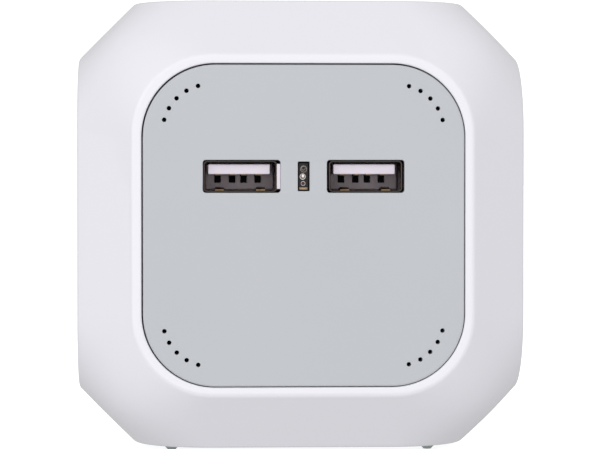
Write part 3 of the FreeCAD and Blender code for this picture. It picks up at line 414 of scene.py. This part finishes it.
def bevelRing(depth):
    # straight sides joined by a conic through the diagonal curve: a circle at the lip, fuller further down
    radius = housing["lipRadius"] + depth
    out = np.interp(depth, cornerDepth, cornerOut) - lipCentre * math.sqrt(2)
    fullness = math.sqrt(2) * out / radius - 1
    near, far = np.sin(facing / 2), np.sin(np.pi / 4 - facing / 2)
    near, far = near / (near + far), far / (near + far)
    knee = 2 * fullness / (1 - fullness) * near * far
    reach = np.stack([far ** 2 + knee, near ** 2 + knee]) / (near ** 2 + far ** 2 + knee)
    return lipCentre * ownCentre + (radius * reach).T


def lastDepth():
    # how deep each column goes before the next face's bevel begins, at max(x, y) = z, by halving
    low, high = np.zeros(len(facing)), np.full(len(facing), half - lipCentre)
    for _ in range(40):
        middle = (low + high) / 2
        over = bevelRing(middle).max(axis=1) > half - middle
        low, high = np.where(over, low, middle), np.where(over, middle, high)
    return low


def outerRows():
    # up the bevel, then round the lip, which turns by 45 degrees on the sides and less on the corners
    probe = 0.01
    lip, below = bevelRing(0 * facing), bevelRing(0 * facing + probe)
    growth = ((below - lip) * facingWay).sum(axis=1) / probe
    tilt = np.arctan(1 / growth)
    tangent = housing["lipRound"] * np.tan(tilt / 2)
    first, last = tangent * np.sin(tilt), lastDepth()
    rows = []
    for share in np.linspace(1, 0, housing["bevelSteps"]):
        depth = first + (last - first) * share
        rows.append(atHeight(bevelRing(depth), half - depth))
    for share in np.linspace(1, 0, 7)[1:]:
        radius = housing["lipRadius"] - tangent + housing["lipRound"] * np.sin(tilt * share)
        ring = lipCentre * ownCentre + radius[:, None] * facingWay
        rows.append(atHeight(ring, half - housing["lipRound"] * (1 - np.cos(tilt * share))))
    return rows


def innerRows(reach, flat, radius):
    # 45 degree slope below a rounded square: at depth t its half and radius grow by t
    lean = facingWay.max(axis=1)
    last = (reach - (flat - radius) - radius * lean) / (1 + lean)
    ring, growth = cornerRing(flat, radius), cornerRing(flat + 1, radius + 1) - cornerRing(flat, radius)
    return [atHeight(ring + growth * depth[:, None], reach - depth)
            for depth in last * np.linspace(0, 1, housing["bevelSteps"])[:, None]]


def shellPatch():
    # one corner of one face: bevel, lip, wall of the opening, then back along the inside
    s = housing
    rows = outerRows()
    for out, up in quarter(s["edgeRound"], 90, 180, 5):
        grow = s["edgeRound"] + out
        ring = cornerRing(s["openHalf"] + grow, s["openRadius"] + grow)
        rows.append(atHeight(ring, half - s["edgeRound"] + up))
    inner = half - s["wall"]
    rows.append(atHeight(cornerRing(s["openHalf"], s["openRadius"]), inner))
    step = s["wall"] * (math.sqrt(2) - 1)
    rows += innerRows(inner, s["lipHalf"] - step, s["lipRadius"] - step)
    return np.array(rows)


def ridgeWeight(points):
    # 1 on the faint ridges where two bevels meet near a corner, fading to 0 beside them
    size = np.sort(np.abs(points / mm - cubeMiddle), axis=1)
    beside = np.clip(1 - (size[:, 2] - size[:, 1]) / housing["smoothReach"], 0, 1)
    along = np.clip((size[:, 0] - lipCentre) / 4, 0, 1)
    return beside * along * (size[:, 2] < half - 1)


def makeShell(name, side, node):
    patch = shellPatch()
    rows, columns = patch.shape[:2]
    points, faces = [], []
    quads = gridQuads(rows, columns, closeColumns=False)
    for face in faceAxes:
        for angle in (0, 90, 180, 270):
            a = math.radians(angle)
            spin = np.array([[math.cos(a), -math.sin(a), 0], [math.sin(a), math.cos(a), 0], [0, 0, 1]])
            place = patch.reshape(-1, 3) @ (faceTurn(face) @ spin).T
            if place[:, 1].mean() * side < 0:
                continue
            place[:, 1] = np.where(abs(place[:, 1]) < 1e-6, side * housing["parting"], place[:, 1])
            faces.append(quads + sum(len(p) for p in points))
            points.append(place)
    piece = addMesh(name, (np.concatenate(points) + cubeMiddle) * mm, np.concatenate(faces))
    work = bmesh.new()
    work.from_mesh(piece.data)
    bmesh.ops.remove_doubles(work, verts=work.verts[:], dist=wideWeldMm * mm)
    bmesh.ops.holes_fill(work, edges=[edge for edge in work.edges if edge.is_boundary], sides=0)
    bmesh.ops.recalc_face_normals(work, faces=work.faces[:])
    work.to_mesh(piece.data)
    work.free()
    spots = np.array([v.co for v in piece.data.vertices])
    weights = ridgeWeight(spots)
    group = piece.vertex_groups.new(name="ridges")
    for index in np.nonzero(weights > 0.01)[0]:
        group.add([int(index)], float(weights[index]), "REPLACE")
    soften = piece.modifiers.new("softRidges", "SMOOTH")
    soften.factor = 0.5
    soften.iterations = housing["smoothRounds"]
    soften.vertex_group = "ridges"
    return dress(piece, "glossyAbs", replaced=[node], crease=32)


frontShell = makeShell("frontShell", -1, "front_housing")
rearShell = makeShell("rearShell", 1, "rear_housing")
print("housing halves")


def addModifierCut(piece, cutter):
    # takes the cutter's volume out of the piece, then drops the cutter
    step = piece.modifiers.new("cut_" + cutter.name, "BOOLEAN")
    step.operation = "DIFFERENCE"
    step.solver = "EXACT"
    step.object = cutter
    piece.modifiers.move(len(piece.modifiers) - 1, 0)
    with bpy.context.temp_override(object=piece, active_object=piece, selected_objects=[piece]):
        bpy.ops.object.modifier_apply(modifier=step.name)
    bpy.data.objects.remove(cutter)


def cutBore(name, radius, low, high, turn, shift, segments):
    # drills the rear shell along the local z axis, from one depth to another
    outline = [(0, low), (radius, low), (radius, high), (0, high)]
    addModifierCut(rearShell, addGrids(name, [turned(outline, segments)], turn, shift=shift))


def coneSurface(x, z):
    # how far back a corner of three 45 degree cones reaches behind the point x, z; the shell's fuller
    # outside stays beyond it
    reach = half + housing["lipRadius"]
    x, z = np.abs(x), np.abs(z)
    pastX, pastZ = np.maximum(x - lipCentre, 0), np.maximum(z - lipCentre, 0)
    own = reach - np.hypot(pastX, pastZ)
    byX = lipCentre + np.sqrt(np.maximum((reach - x) ** 2 - pastZ ** 2, 0))
    byZ = lipCentre + np.sqrt(np.maximum((reach - z) ** 2 - pastX ** 2, 0))
    return np.minimum(np.minimum(own, half), np.minimum(byX, byZ))


def makeScrewPosts():
    # a hollow post under each rear corner hole: its walls rise to the inside of the sloping corner
    s = housing
    lay = turnOf((1, 0, 0), (0, 1, 0))
    heights = np.linspace(0, 1, 8)[:, None]
    angle = np.linspace(0, 2 * np.pi, s["postSegments"], endpoint=False)
    low = s["headSeat"] - 1
    for sideX in (1, -1):
        for sideZ in (1, -1):
            x, z = sideX * s["postOffset"], sideZ * s["postOffset"]
            shift = (x, -z, 0)
            cutBore("screwHole", s["headBore"], s["headSeat"], s["boreEnd"], lay, shift, s["postSegments"])
            walls = []
            for radius in (s["headBore"] + 0.02, s["postRadius"]):
                px, pz = radius * np.cos(angle), radius * np.sin(angle)
                top = coneSurface(x + px, z - pz) - s["postSunk"]
                rise = low + (top - low) * heights
                walls.append(np.stack([px + 0 * heights, pz + 0 * heights, rise], axis=-1))
            tube = np.concatenate([walls[0][::-1], walls[1]])
            floor = turned([(0, low + 0.2), (s["headBore"] + 0.1, low + 0.2)], s["postSegments"])
            name = f"screwPost{'LR'[sideX > 0]}{'BT'[sideZ > 0]}"
            post = addGrids(name, [tube, floor], lay, shift=shift, closeRows=(0,))
            dress(post, "glossyAbs")


def makeInletHole():
    seat = (half + housing["lipHalf"]) / math.sqrt(2)
    low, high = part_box("cable_gland")
    height = (low.z + high.z) / 2 / mm - cubeMiddle[2]
    cutBore("inletHole", housing["inletBore"], seat - 6, seat + 6, inletTurn, (height, 0, 0), 64)
    return seat, height


inletTurn = turnOf((0, 0, 1), (-1, 1, 0))
makeScrewPosts()
inletSeat, inletHeight = makeInletHole()
print("screw posts and inlet hole")

# ---- panels: flat plates with a turned-down skirt, set flush in the lips; the front one sits a hair off centre

panel = dict(gap=0.18, edgeRound=0.35, thick=2.0, depth=3.8, skirt=1.6, frontShift=(0.05, -0.05))


def panelWall(x=0.0, y=0.0):
    # from the underside out over the skirt and up to the rounded front edge
    s, r = panel, panel["edgeRound"]
    outer, radius = housing["openHalf"] - s["gap"], housing["openRadius"] - s["gap"]
    rows = [(outer - s["skirt"], outer - s["skirt"], radius - s["skirt"], half - s["thick"]),
            (outer - s["skirt"], outer - s["skirt"], radius - s["skirt"], half - s["depth"]),
            (outer, outer, radius, half - s["depth"])]
    rows += [(outer - r + a, outer - r + a, radius - r + a, half - r + b) for a, b in quarter(r, 0, 90, 6)]
    return stack(rows, 24, x, y)


def hole(sizes, radius, bottom, x=0.0, y=0.0, edge=0.15, perCorner=6):
    # a rounded opening through a plate, with its front edge broken by a small round
    a, b = sizes
    rows = [(a + edge - p, b + edge - p, radius + edge - p, half - edge + q)
            for q, p in quarter(edge, 0, 90, 4)]
    rows += [(a, b, radius, bottom)]
    return stack(rows, perCorner, x, y)


port = {side: [np.array(c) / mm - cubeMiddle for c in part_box("usb_shell_" + side)]
        for side in ("left", "right")}
portHeight = (port["right"][0][2] + port["right"][1][2]) / 2
portPlace = {side: (low[0] + high[0]) / 2 for side, (low, high) in port.items()}
portSize = port["right"][1] - port["right"][0]
windowOffset = portPlace["right"]

frontFace = dict(
    window=(6.8, 2.87), windowRound=0.5, lamp=(1.05, 2.6), ventCentre=16.33, ventArc=8.37, ventRadius=0.4,
    ventAngles=(15, 30, 45, 60, 75))


def makeFrontPanel():
    s, under = frontFace, half - panel["thick"]
    openings = [hole(s["window"], s["windowRound"], under, side * windowOffset, portHeight)
                for side in (-1, 1)]
    openings.append(hole(s["lamp"], 0.15, under, 0, portHeight, edge=0.08))
    for sideX in (1, -1):
        for sideY in (1, -1):
            for angle in np.radians(s["ventAngles"]):
                x = sideX * (s["ventCentre"] + s["ventArc"] * math.cos(angle))
                y = sideY * (s["ventCentre"] + s["ventArc"] * math.sin(angle))
                r = s["ventRadius"]
                openings.append(hole((r, r), r, under, x, y, edge=0.05, perCorner=7))
    grids = [panelWall(*panel["frontShift"]), *openings]
    front = [(0, -1)] + [(n, 0) for n in range(1, len(grids))]
    back = [(0, 0)] + [(n, -1) for n in range(1, len(grids))]
    plate = addGrids("frontPanelPlate", grids, faceTurn("front"), caps=[front, back])
    dress(plate, "satinPolycarbonate", replaced=["front_panel"])
    # a black strip curved along behind each row of vents: painted shade that keeps the vent holes dark
    angle = np.radians(np.linspace(4, 86, 30))[:, None]
    across = ringPoints(1.0, 0.45, 0.2, 3)
    grids = []
    for sideX in (1, -1):
        for sideY in (1, -1):
            reach = s["ventArc"] + across[:, 0]
            grids.append(np.stack([sideX * (s["ventCentre"] + reach * np.cos(angle)),
                                   sideY * (s["ventCentre"] + reach * np.sin(angle)),
                                   under - 0.5 + across[:, 1] + 0 * angle], axis=-1))
    caps = [[(n, row)] for n in range(4) for row in (0, -1)]
    dress(addGrids("ventShadeStrip", grids, faceTurn("front"), caps=caps), "ventShadeBlack")


makeFrontPanel()

well = dict(
    radius=19.25, depth=17.5, wall=1.2, rim=0.7, keyHalf=2.7, keyReach=16.6, keyTop=1.5, pinPitch=19.0,
    pinHole=2.8, pinLead=0.55, floor=1.6, slotHalf=(3.3, 0.7), slotPlace=18.0)


def makeSocketPanel(face):
    s, under = well, half - panel["thick"]
    floorLevel = half - s["depth"]
    rows = [(s["radius"] + s["rim"] * (1 - math.sin(t)), half - s["rim"] * (1 - math.cos(t)))
            for t in np.radians(np.linspace(0, 90, 7))]
    outside = s["radius"] + s["wall"]
    rows += [(s["radius"], floorLevel), (outside, floorLevel), (outside, under)]
    grids = [panelWall(), turned(rows, 128)]
    caps = [[(0, -1), (1, 0)], [(0, 0), (1, -1)]]
    plate = addGrids("socketPanel_" + face, grids, faceTurn(face), caps=caps)
    dress(plate, "satinPolycarbonate", replaced=["socket_panel_" + face])
    long = s["depth"] - s["keyTop"]
    for side in (1, -1):
        deep = s["radius"] + s["wall"] / 2 - s["keyReach"]
        ball = pulledBall((deep, 2 * s["keyHalf"], long), 0.45,
                          (side * (s["keyReach"] + deep / 2), 0, floorLevel + long / 2 - 0.02))
        guide = addGrids(f"plugGuide_{face}{'MP'[side > 0]}", [ball], faceTurn(face))
        dress(guide, "satinPolycarbonate")


def makeSocketFloor(face):
    # a disc with two countersunk pin holes and two slots for the earth clip's prongs
    s = well
    top, low = half - s["depth"], half - s["depth"] - s["floor"]
    outside, step = s["radius"] + s["wall"], top - 0.02
    slotX, slotY = s["slotHalf"]
    outer = turned([(outside, low), (outside, step), (s["radius"] - 0.05, step),
                    (s["radius"] - 0.05, top), (s["radius"] - 0.3, top)], 96)
    openings = []
    for side in (1, -1):
        rows = [(s["pinHole"] + s["pinLead"] * (1 - math.sin(t)), top - s["pinLead"] * (1 - math.cos(t)))
                for t in np.radians(np.linspace(0, 90, 6))]
        openings.append(turned(rows + [(s["pinHole"], low)], 48, side * s["pinPitch"] / 2, 0))
        rows = [(slotX + 0.05, slotY + 0.05, 0.3, top), (slotX, slotY, 0.25, top - 0.1),
                (slotX, slotY, 0.25, low)]
        openings.append(stack(rows, 5, 0, side * s["slotPlace"]))
    grids = [outer, *openings]
    caps = [[(0, -1)] + [(n, 0) for n in range(1, 5)], [(0, 0)] + [(n, -1) for n in range(1, 5)]]
    disc = addGrids("socketFloor_" + face, grids, faceTurn(face), caps=caps)
    dress(disc, "satinPolycarbonate", replaced=["socket_floor_" + face])


clip = dict(
    width=5.4, thick=0.8, base=17.4, outside=18.0, bump=1.15, bumpAt=31.0, bumpSpread=2.4, tip=36.0)


def makeEarthClip(face):
    # a strip carried along each prong: it bows towards the plug as a bell curve of height, then leans back
    s = clip
    z = np.linspace(s["base"] + 0.4, s["tip"], 40)
    reach = s["outside"] - s["thick"] / 2 - s["bump"] * np.exp(-((z - s["bumpAt"]) / s["bumpSpread"]) ** 2)
    slope = np.gradient(reach, z)
    grids = []
    edge = ringPoints(s["width"] / 2, s["thick"] / 2, 0.25, 4)
    taper = np.clip((s["tip"] - z) / 1.2, 0, 1) ** 0.5 * 0.25 + 0.75
    for side in (1, -1):
        normal = np.stack([np.ones_like(slope), -slope], axis=1) / np.hypot(1, slope)[:, None]
        x = edge[None, :, 0] * taper[:, None]
        y = side * (reach[:, None] + edge[None, :, 1] * normal[:, :1])
        height = z[:, None] + edge[None, :, 1] * normal[:, 1:]
        grids.append(np.stack([x, y + 0 * x, height + 0 * x], axis=-1))
    base = pulledBall((s["width"], 2 * s["outside"], s["thick"]), 0.2, (0, 0, s["base"]))
    caps = [[(n, row)] for n in (0, 1) for row in (0, -1)]
    strip = addGrids("earthClip_" + face, [*grids, base], faceTurn(face), caps=caps)
    dress(strip, "nickelStrip", replaced=["earth_clip_" + face])


for face in outletFaces:
    makeSocketPanel(face)
    makeSocketFloor(face)
    makeEarthClip(face)
print("outlet wells")

# ---- base cover and feet

base = dict(
    recess=(17.0, 11.0), recessRound=2.0, recessDepth=0.3, footPlace=23.2, footRadius=1.6, footTip=0.85,
    footHeight=0.9, footRound=0.3)


def makeBase():
    s, edge = base, 0.12
    a, b = s["recess"]
    recess = stack([(a + edge, b + edge, s["recessRound"], half), (a, b, s["recessRound"], half - edge),
                    (a, b, s["recessRound"], half - s["recessDepth"])], 8)
    caps = [[(0, -1), (1, 0)], [(1, -1)], [(0, 0)]]
    plate = addGrids("basePlate", [panelWall(), recess], faceTurn("bottom"), caps=caps)
    dress(plate, "satinPolycarbonate", replaced=["base_cover"])
    sole, r = half + s["footHeight"], s["footRound"]
    rim = [(s["footTip"] - r + p, sole - r + q) for p, q in quarter(r, 15, 90, 5)]
    profile = [(0, half - 1), (s["footRadius"], half - 1), (s["footRadius"], half), *rim, (0, sole)]
    grids = [turned(profile, 40, sideX * s["footPlace"], sideY * s["footPlace"])
             for sideX in (1, -1) for sideY in (1, -1)]
    feet = addGrids("rubberFeet", grids, faceTurn("bottom"))
    dress(feet, "footSilicone", replaced=["rubber_feet"])


makeBase()

bush = dict(
    lip=0.9, bore=4.1, neck=5.0, flange=5.5, mouthRound=0.4, shoulderRound=0.3, rings=(1.2, 2.2),
    ringHalf=0.2, ringDepth=0.15)


def makeInletBush():
    # a flanged bush with a rounded mouth and two shallow grip rings
    s, top = bush, inletSeat + bush["lip"]
    r = s["shoulderRound"]
    shoulder = [(s["flange"] - r + p, top - r + q) for p, q in quarter(r, 0, 90, 5)]
    r = s["mouthRound"]
    mouth = [(s["bore"] + r * (1 - math.sin(t)), top - r * (1 - math.cos(t)))
             for t in np.radians([0, 25, 50, 75, 90])]
    back = inletSeat - housing["wall"] - 0.1
    profile = [(s["bore"], back), (s["neck"], back), (s["neck"], inletSeat), (s["flange"], inletSeat),
               *shoulder, *mouth]
    for depth in s["rings"]:
        profile += [(s["bore"], top - depth), (s["bore"] + s["ringDepth"], top - depth - s["ringHalf"]),
                    (s["bore"], top - depth - 2 * s["ringHalf"])]
    ring = addGrids("inletBush", [turned(profile, 72)], inletTurn, shift=(inletHeight, 0, 0), closeRows=(0,))
    dress(ring, "mouldedRubber", replaced=["cable_gland"])


makeInletBush()


# the screws' outline from the tip up, as (radius, height over the seat): shank, pan head, round drive socket
screwOutline = [(0, -6), (1.5, -6), (1.5, 0), (2.75, 0), (2.75, 1.2), (2.5, 1.8), (2.0, 2.15), (1.3, 2.2),
                (1.2, 2.1), (1.2, 1.0), (0, 0.8)]


def makeScrews():
    profile = [(radius, housing["headSeat"] + height) for radius, height in screwOutline]
    grids = [turned(profile, 40, sideX * housing["postOffset"], sideZ * housing["postOffset"])
             for sideX in (1, -1) for sideZ in (1, -1)]
    screws = addGrids("housingScrews", grids, turnOf((1, 0, 0), (0, 1, 0)))
    dress(screws, "zincSteel", replaced=["housing_screws"])


makeScrews()
print("base, feet, bush and screws")

# ---- USB ports, in the front face's axes

usb = dict(
    skin=0.3, outerRound=0.75, depth=13.0, tongueWidth=10.9, tongueThick=1.8, tongueDrop=0.32,
    tongueBack=1.0, tongueShift=-0.2, pocket=(0.56, 0.8), pins=(-3.85, -1.3, 0.75, 3.25), fingerPlace=3.6,
    spacer=(0.62, 4.4, 1.6))


def makePort(side):
    s = usb
    x, y = portPlace[side], portHeight
    a, b = portSize[0] / 2, portSize[2] / 2
    front = -port[side][0][1]
    roll = s["skin"] / 2
    rows = [(a, b, s["outerRound"], front - s["depth"])]
    rows += [(a - roll + p, b - roll + p, s["outerRound"] - roll + p, front - roll + q)
             for p, q in quarter(roll, 0, 180, 9)]
    rows += [(a - s["skin"], b - s["skin"], s["outerRound"] - s["skin"], front - s["depth"])]
    shell = addGrids("portShell_" + side, [stack(rows, 8, x, y)], faceTurn("front"), closeRows=(0,))
    # the shell's dark brown finish is painted shade inside the window
    dress(shell, "shadedPortSteel", replaced=["usb_shell_" + side])

    innerA, innerB = a - s["skin"], b - s["skin"]
    insulatorLevel = front - s["depth"] + 5
    top = y + innerB - s["tongueDrop"]
    tongueFront = front - s["tongueBack"]
    middle = (x + s["tongueShift"], top - s["tongueThick"] / 2, (tongueFront + insulatorLevel) / 2 - 1)
    tongue = pulledBall((s["tongueWidth"], s["tongueThick"], tongueFront - insulatorLevel + 2), 0.22, middle)
    nylon = addGrids("portTongue_" + side, [tongue], faceTurn("front"))
    dress(nylon, "portNylon", replaced=["usb_tongue_" + side])

    block = pulledBall((2 * innerA - 0.1, 2 * innerB - 0.1, 4.6), 0.3, (x, y, insulatorLevel - 2.3))
    wellBack = addGrids("portBack_" + side, [block], faceTurn("front"))
    dress(wellBack, "portWell")

    under = top - s["tongueThick"]
    halfX, halfY = s["pocket"]
    level = (under - halfY + 0.1, insulatorLevel + 0.05)
    # four near-black boxes stand in for the contact slots: painted shade
    slots = [pulledBall((2 * halfX, 2 * halfY, 0.5), 0.08, (x + pin, *level), 2) for pin in s["pins"]]
    slotShade = addGrids("portSlotShade_" + side, slots, faceTurn("front"))
    dress(slotShade, "slotShadeBlack")

    # contacts lie under the tongue, their noses curled up
    depth = np.linspace(0, 1, 14)
    run = insulatorLevel + depth * (tongueFront - 1.6 - insulatorLevel)
    curl = 0.12 * np.sin(np.pi * depth)
    outline = ringPoints(0.5, 0.12, 0.06, 3)
    grids = []
    for pin in s["pins"]:
        grids.append(np.stack([x + pin + outline[:, 0] + 0 * run[:, None],
                               under - 0.02 + outline[:, 1] - curl[:, None],
                               run[:, None] + 0 * outline[:, 0]], axis=-1))
    caps = [[(n, row)] for n in range(len(grids)) for row in (0, -1)]
    contacts = addGrids("portContacts_" + side, grids, faceTurn("front"), caps=caps)
    # the contacts' dim brown gold is painted shade inside the port
    dress(contacts, "shadedGoldSpring", replaced=["usb_contacts_" + side])

    # two sprung fingers pressed up out of the shell's floor, behind the mouth
    along = np.linspace(0, 1, 18)
    outline = ringPoints(0.8, 0.13, 0.08, 3)
    lift = 0.40 * np.sin(np.pi * along) ** 0.8
    grids = []
    for sideX in (-1, 1):
        reach = front - 1.0 - 5.5 * along
        grids.append(np.stack([x + sideX * s["fingerPlace"] + outline[:, 0] + 0 * reach[:, None],
                               y - innerB + 0.06 + outline[:, 1] + lift[:, None],
                               reach[:, None] + 0 * outline[:, 0]], axis=-1))
    caps = [[(n, row)] for n in (0, 1) for row in (0, -1)]
    fingers = addGrids("portFingers_" + side, grids, faceTurn("front"), caps=caps)
    # the fingers' dim brown gold is painted shade inside the port
    dress(fingers, "shadedGoldSpring")


def makePortSpacer():
    # a white spacer fills the space beside the left port, which sits off the middle of its window
    width, height, deep = usb["spacer"]
    place = -windowOffset + frontFace["window"][0] - width / 2 - 0.02
    spacer = pulledBall((width, height, deep), 0.08, (place, portHeight, half - 0.25 - deep / 2), 2)
    dress(addGrids("portSpacer", [spacer], faceTurn("front")), "portNylon")


for side in ("left", "right"):
    makePort(side)
makePortSpacer()
print("ports")

# ---- indicator lamp behind its slot

# each cup is (radius, wire, across, up, how far sunk)
lamp = dict(
    size=(1.9, 5.0), back=33.0, face=38.3,
    cups=((0.47, 0.09, -0.12, -0.05, 0), (0.36, 0.06, -0.05, -1.25, 0), (0.55, 0.03, 0.05, 1.3, 0.01),
          (0.34, 0.03, 0.02, 1.45, 0.01)),
    reflector=((0, -0.05), (0.3, -0.05), (0.3, 0.05), (0.22, 0.09), (0, 0.09)))


def torus(radius, wire, x, y, z):
    # a circle carried round a larger circle
    return turned([(radius + wire * math.cos(t), z + wire * math.sin(t))
                   for t in np.linspace(0, 2 * math.pi, 12, endpoint=False)], 40, x, y)


def makeLamp():
    s, y, face = lamp, portHeight, lamp["face"]
    body = pulledBall((*s["size"], face - s["back"]), 0.2, (0, y, (face + s["back"]) / 2))
    cups = [torus(radius, wire, x, y + up, face - sunk) for radius, wire, x, up, sunk in s["cups"]]
    cups.append(turned([(radius, face + height) for radius, height in s["reflector"]], 32, -0.1, y + 0.02))
    chip = pulledBall((0.36, 0.36, 0.12), 0.05, (-0.05, y - 1.25, face), 2)
    strip = pulledBall((1.5, 0.42, 0.14), 0.06, (0, y - 2.15, face), 2)
    for name, grids, finish, replaced in (
            ("lampBody", [body], "lampEpoxy", ["indicator_led"]), ("lampCups", cups, "lampCup", ()),
            ("lampChip", [chip], "lampChip", ()), ("lampFrame", [strip], "lampFrame", ())):
        closed = range(len(s["cups"])) if name == "lampCups" else ()
        piece = addGrids(name, grids, faceTurn("front"), closeRows=closed)
        dress(piece, finish, replaced=replaced)


makeLamp()

# ---- pieces that keep their CAD shape: edges broken and shading evened, each in its own finish

inside = {
    "stampedBrass": ["line_busbar", "neutral_busbar", "earth_busbar", "cord_terminals"]
    + ["contacts_" + f for f in outletFaces],
    "zincSteel": ["terminal_screws", "board_screws"],
    "leadPvc": ["supply_leads"],
    "solderMask": ["usb_board"],
    "naturalPolyamide": ["contact_carrier_" + f for f in outletFaces],
    "sinteredFerrite": ["transformer_core"],
    "windingTape": ["transformer_coil"],
    "canSleeve": ["mains_capacitor", "output_capacitor"],
    "fuseGlass": ["fuse"],
    "chipEpoxy": ["bridge_rectifier", "charger_chip"],
    "springWire": ["led_leads"] + ["shutter_spring_" + f for f in outletFaces],
    "shutterNylon": ["shutter_" + f for f in outletFaces],
}
brokenEdge = 0.12


def keepShape(node, finish):
    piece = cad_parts[node]
    piece.data.materials.clear()
    piece.data.materials.append(finishes[finish])
    piece.modifiers.new("weld", "WELD").merge_threshold = wideWeldMm * mm
    if not node.startswith(("shutter_spring", "led")):
        bevel = piece.modifiers.new("brokenEdges", "BEVEL")
        bevel.width, bevel.segments, bevel.angle_limit = brokenEdge * mm, 2, math.radians(40)
        bevel.use_clamp_overlap = True
    piece.modifiers.new("evenShading", "WEIGHTED_NORMAL").keep_sharp = True


for finish, nodes in inside.items():
    for node in nodes:
        keepShape(node, finish)
print("inner pieces")

# ---- floor, light and camera

# in metres; the camera, its aim and the soft boxes are placed from the cube's middle
studio = dict(
    glowBelow=0.565, glowAbove=0.595, lens=168.0, camera=(-0.022, -0.530, 0.010),
    aim=(0.00108, 0.0, -0.00063), sweepBack=1.2, sweepRadius=0.5, sweepSpan=3.0, sweepTop=2.5,
    paperGlow=0.75)
# large soft boxes: where, how wide, how strong, and whether glossy surfaces mirror them
softBoxes = {
    "frontBox": dict(place=(-0.27, -1.15, 0.32), size=(2.8, 1.5), power=14.5, mirrored=True),
    "backBox": dict(place=(0.4, 1.2, 0.4), size=(2.0, 2.0), power=8.0, mirrored=False),
}


def makeStudio():
    s = studio
    middle = Vector(cubeMiddle * mm)
    # a paper sweep that curves up behind, bright by itself, and neither lighting nor mirrored in the cube
    angle = np.linspace(0, np.pi / 2, 16)
    back, radius, span = s["sweepBack"], s["sweepRadius"], s["sweepSpan"]
    y = np.concatenate([[-span], back + radius * np.sin(angle), [back + radius]])
    z = np.concatenate([[0], radius * (1 - np.cos(angle)), [s["sweepTop"]]])
    sweep = np.stack([np.stack([np.full_like(y, x), y, z], axis=1) for x in (-span, span)], axis=1)
    floor = addMesh("paperSweep", sweep.reshape(-1, 3), gridQuads(*sweep.shape[:2], closeColumns=False))
    floor.data.polygons.foreach_set("use_smooth", np.ones(len(floor.data.polygons), bool))
    paper = bpy.data.materials.new("whitePaper")
    paper.use_nodes = True
    shader = paper.node_tree.nodes["Principled BSDF"]
    shader.inputs["Base Color"].default_value = srgb("D0D0D0")
    shader.inputs["Roughness"].default_value = 0.9
    shader.inputs["Emission Color"].default_value = srgb("FFFFFF")
    shader.inputs["Emission Strength"].default_value = s["paperGlow"]
    floor.data.materials.append(paper)
    floor.visible_diffuse = False
    floor.visible_glossy = False
    # an even white surround, a little brighter from above
    world = bpy.data.worlds.new("softWhite")
    bpy.context.scene.world = world
    world.use_nodes = True
    tree = world.node_tree
    around = addNode(tree, "ShaderNodeTexCoord").outputs["Generated"]
    height = addNode(tree, "ShaderNodeSeparateXYZ", links={0: around}).outputs["Z"]
    glow = addNode(tree, "ShaderNodeMapRange", {
        "From Min": -1.0, "To Min": s["glowBelow"], "To Max": s["glowAbove"]}, {"Value": height})
    tree.links.new(glow.outputs[0], tree.nodes["Background"].inputs["Strength"])
    tree.nodes["Background"].inputs["Color"].default_value = srgb("FFFFFF")
    for name, box in softBoxes.items():
        light = bpy.data.lights.new(name, "AREA")
        light.shape, light.energy = "RECTANGLE", box["power"]
        light.size, light.size_y = box["size"]
        softBox = bpy.data.objects.new(name, light)
        softBox.location = middle + Vector(box["place"])
        softBox.rotation_euler = (middle - softBox.location).to_track_quat("-Z", "Y").to_euler()
        softBox.visible_glossy = box["mirrored"]
        bpy.context.scene.collection.objects.link(softBox)
    camera = bpy.data.objects.new("camera", bpy.data.cameras.new("camera"))
    camera.data.lens = s["lens"]
    camera.data.sensor_width = 36.0
    camera.location = middle + Vector(s["camera"])
    camera.rotation_euler = (middle + Vector(s["aim"]) - camera.location).to_track_quat("-Z", "Y").to_euler()
    bpy.context.scene.collection.objects.link(camera)
    bpy.context.scene.camera = camera
    bpy.context.scene.view_settings.view_transform = "Standard"


makeStudio()
print("studio")
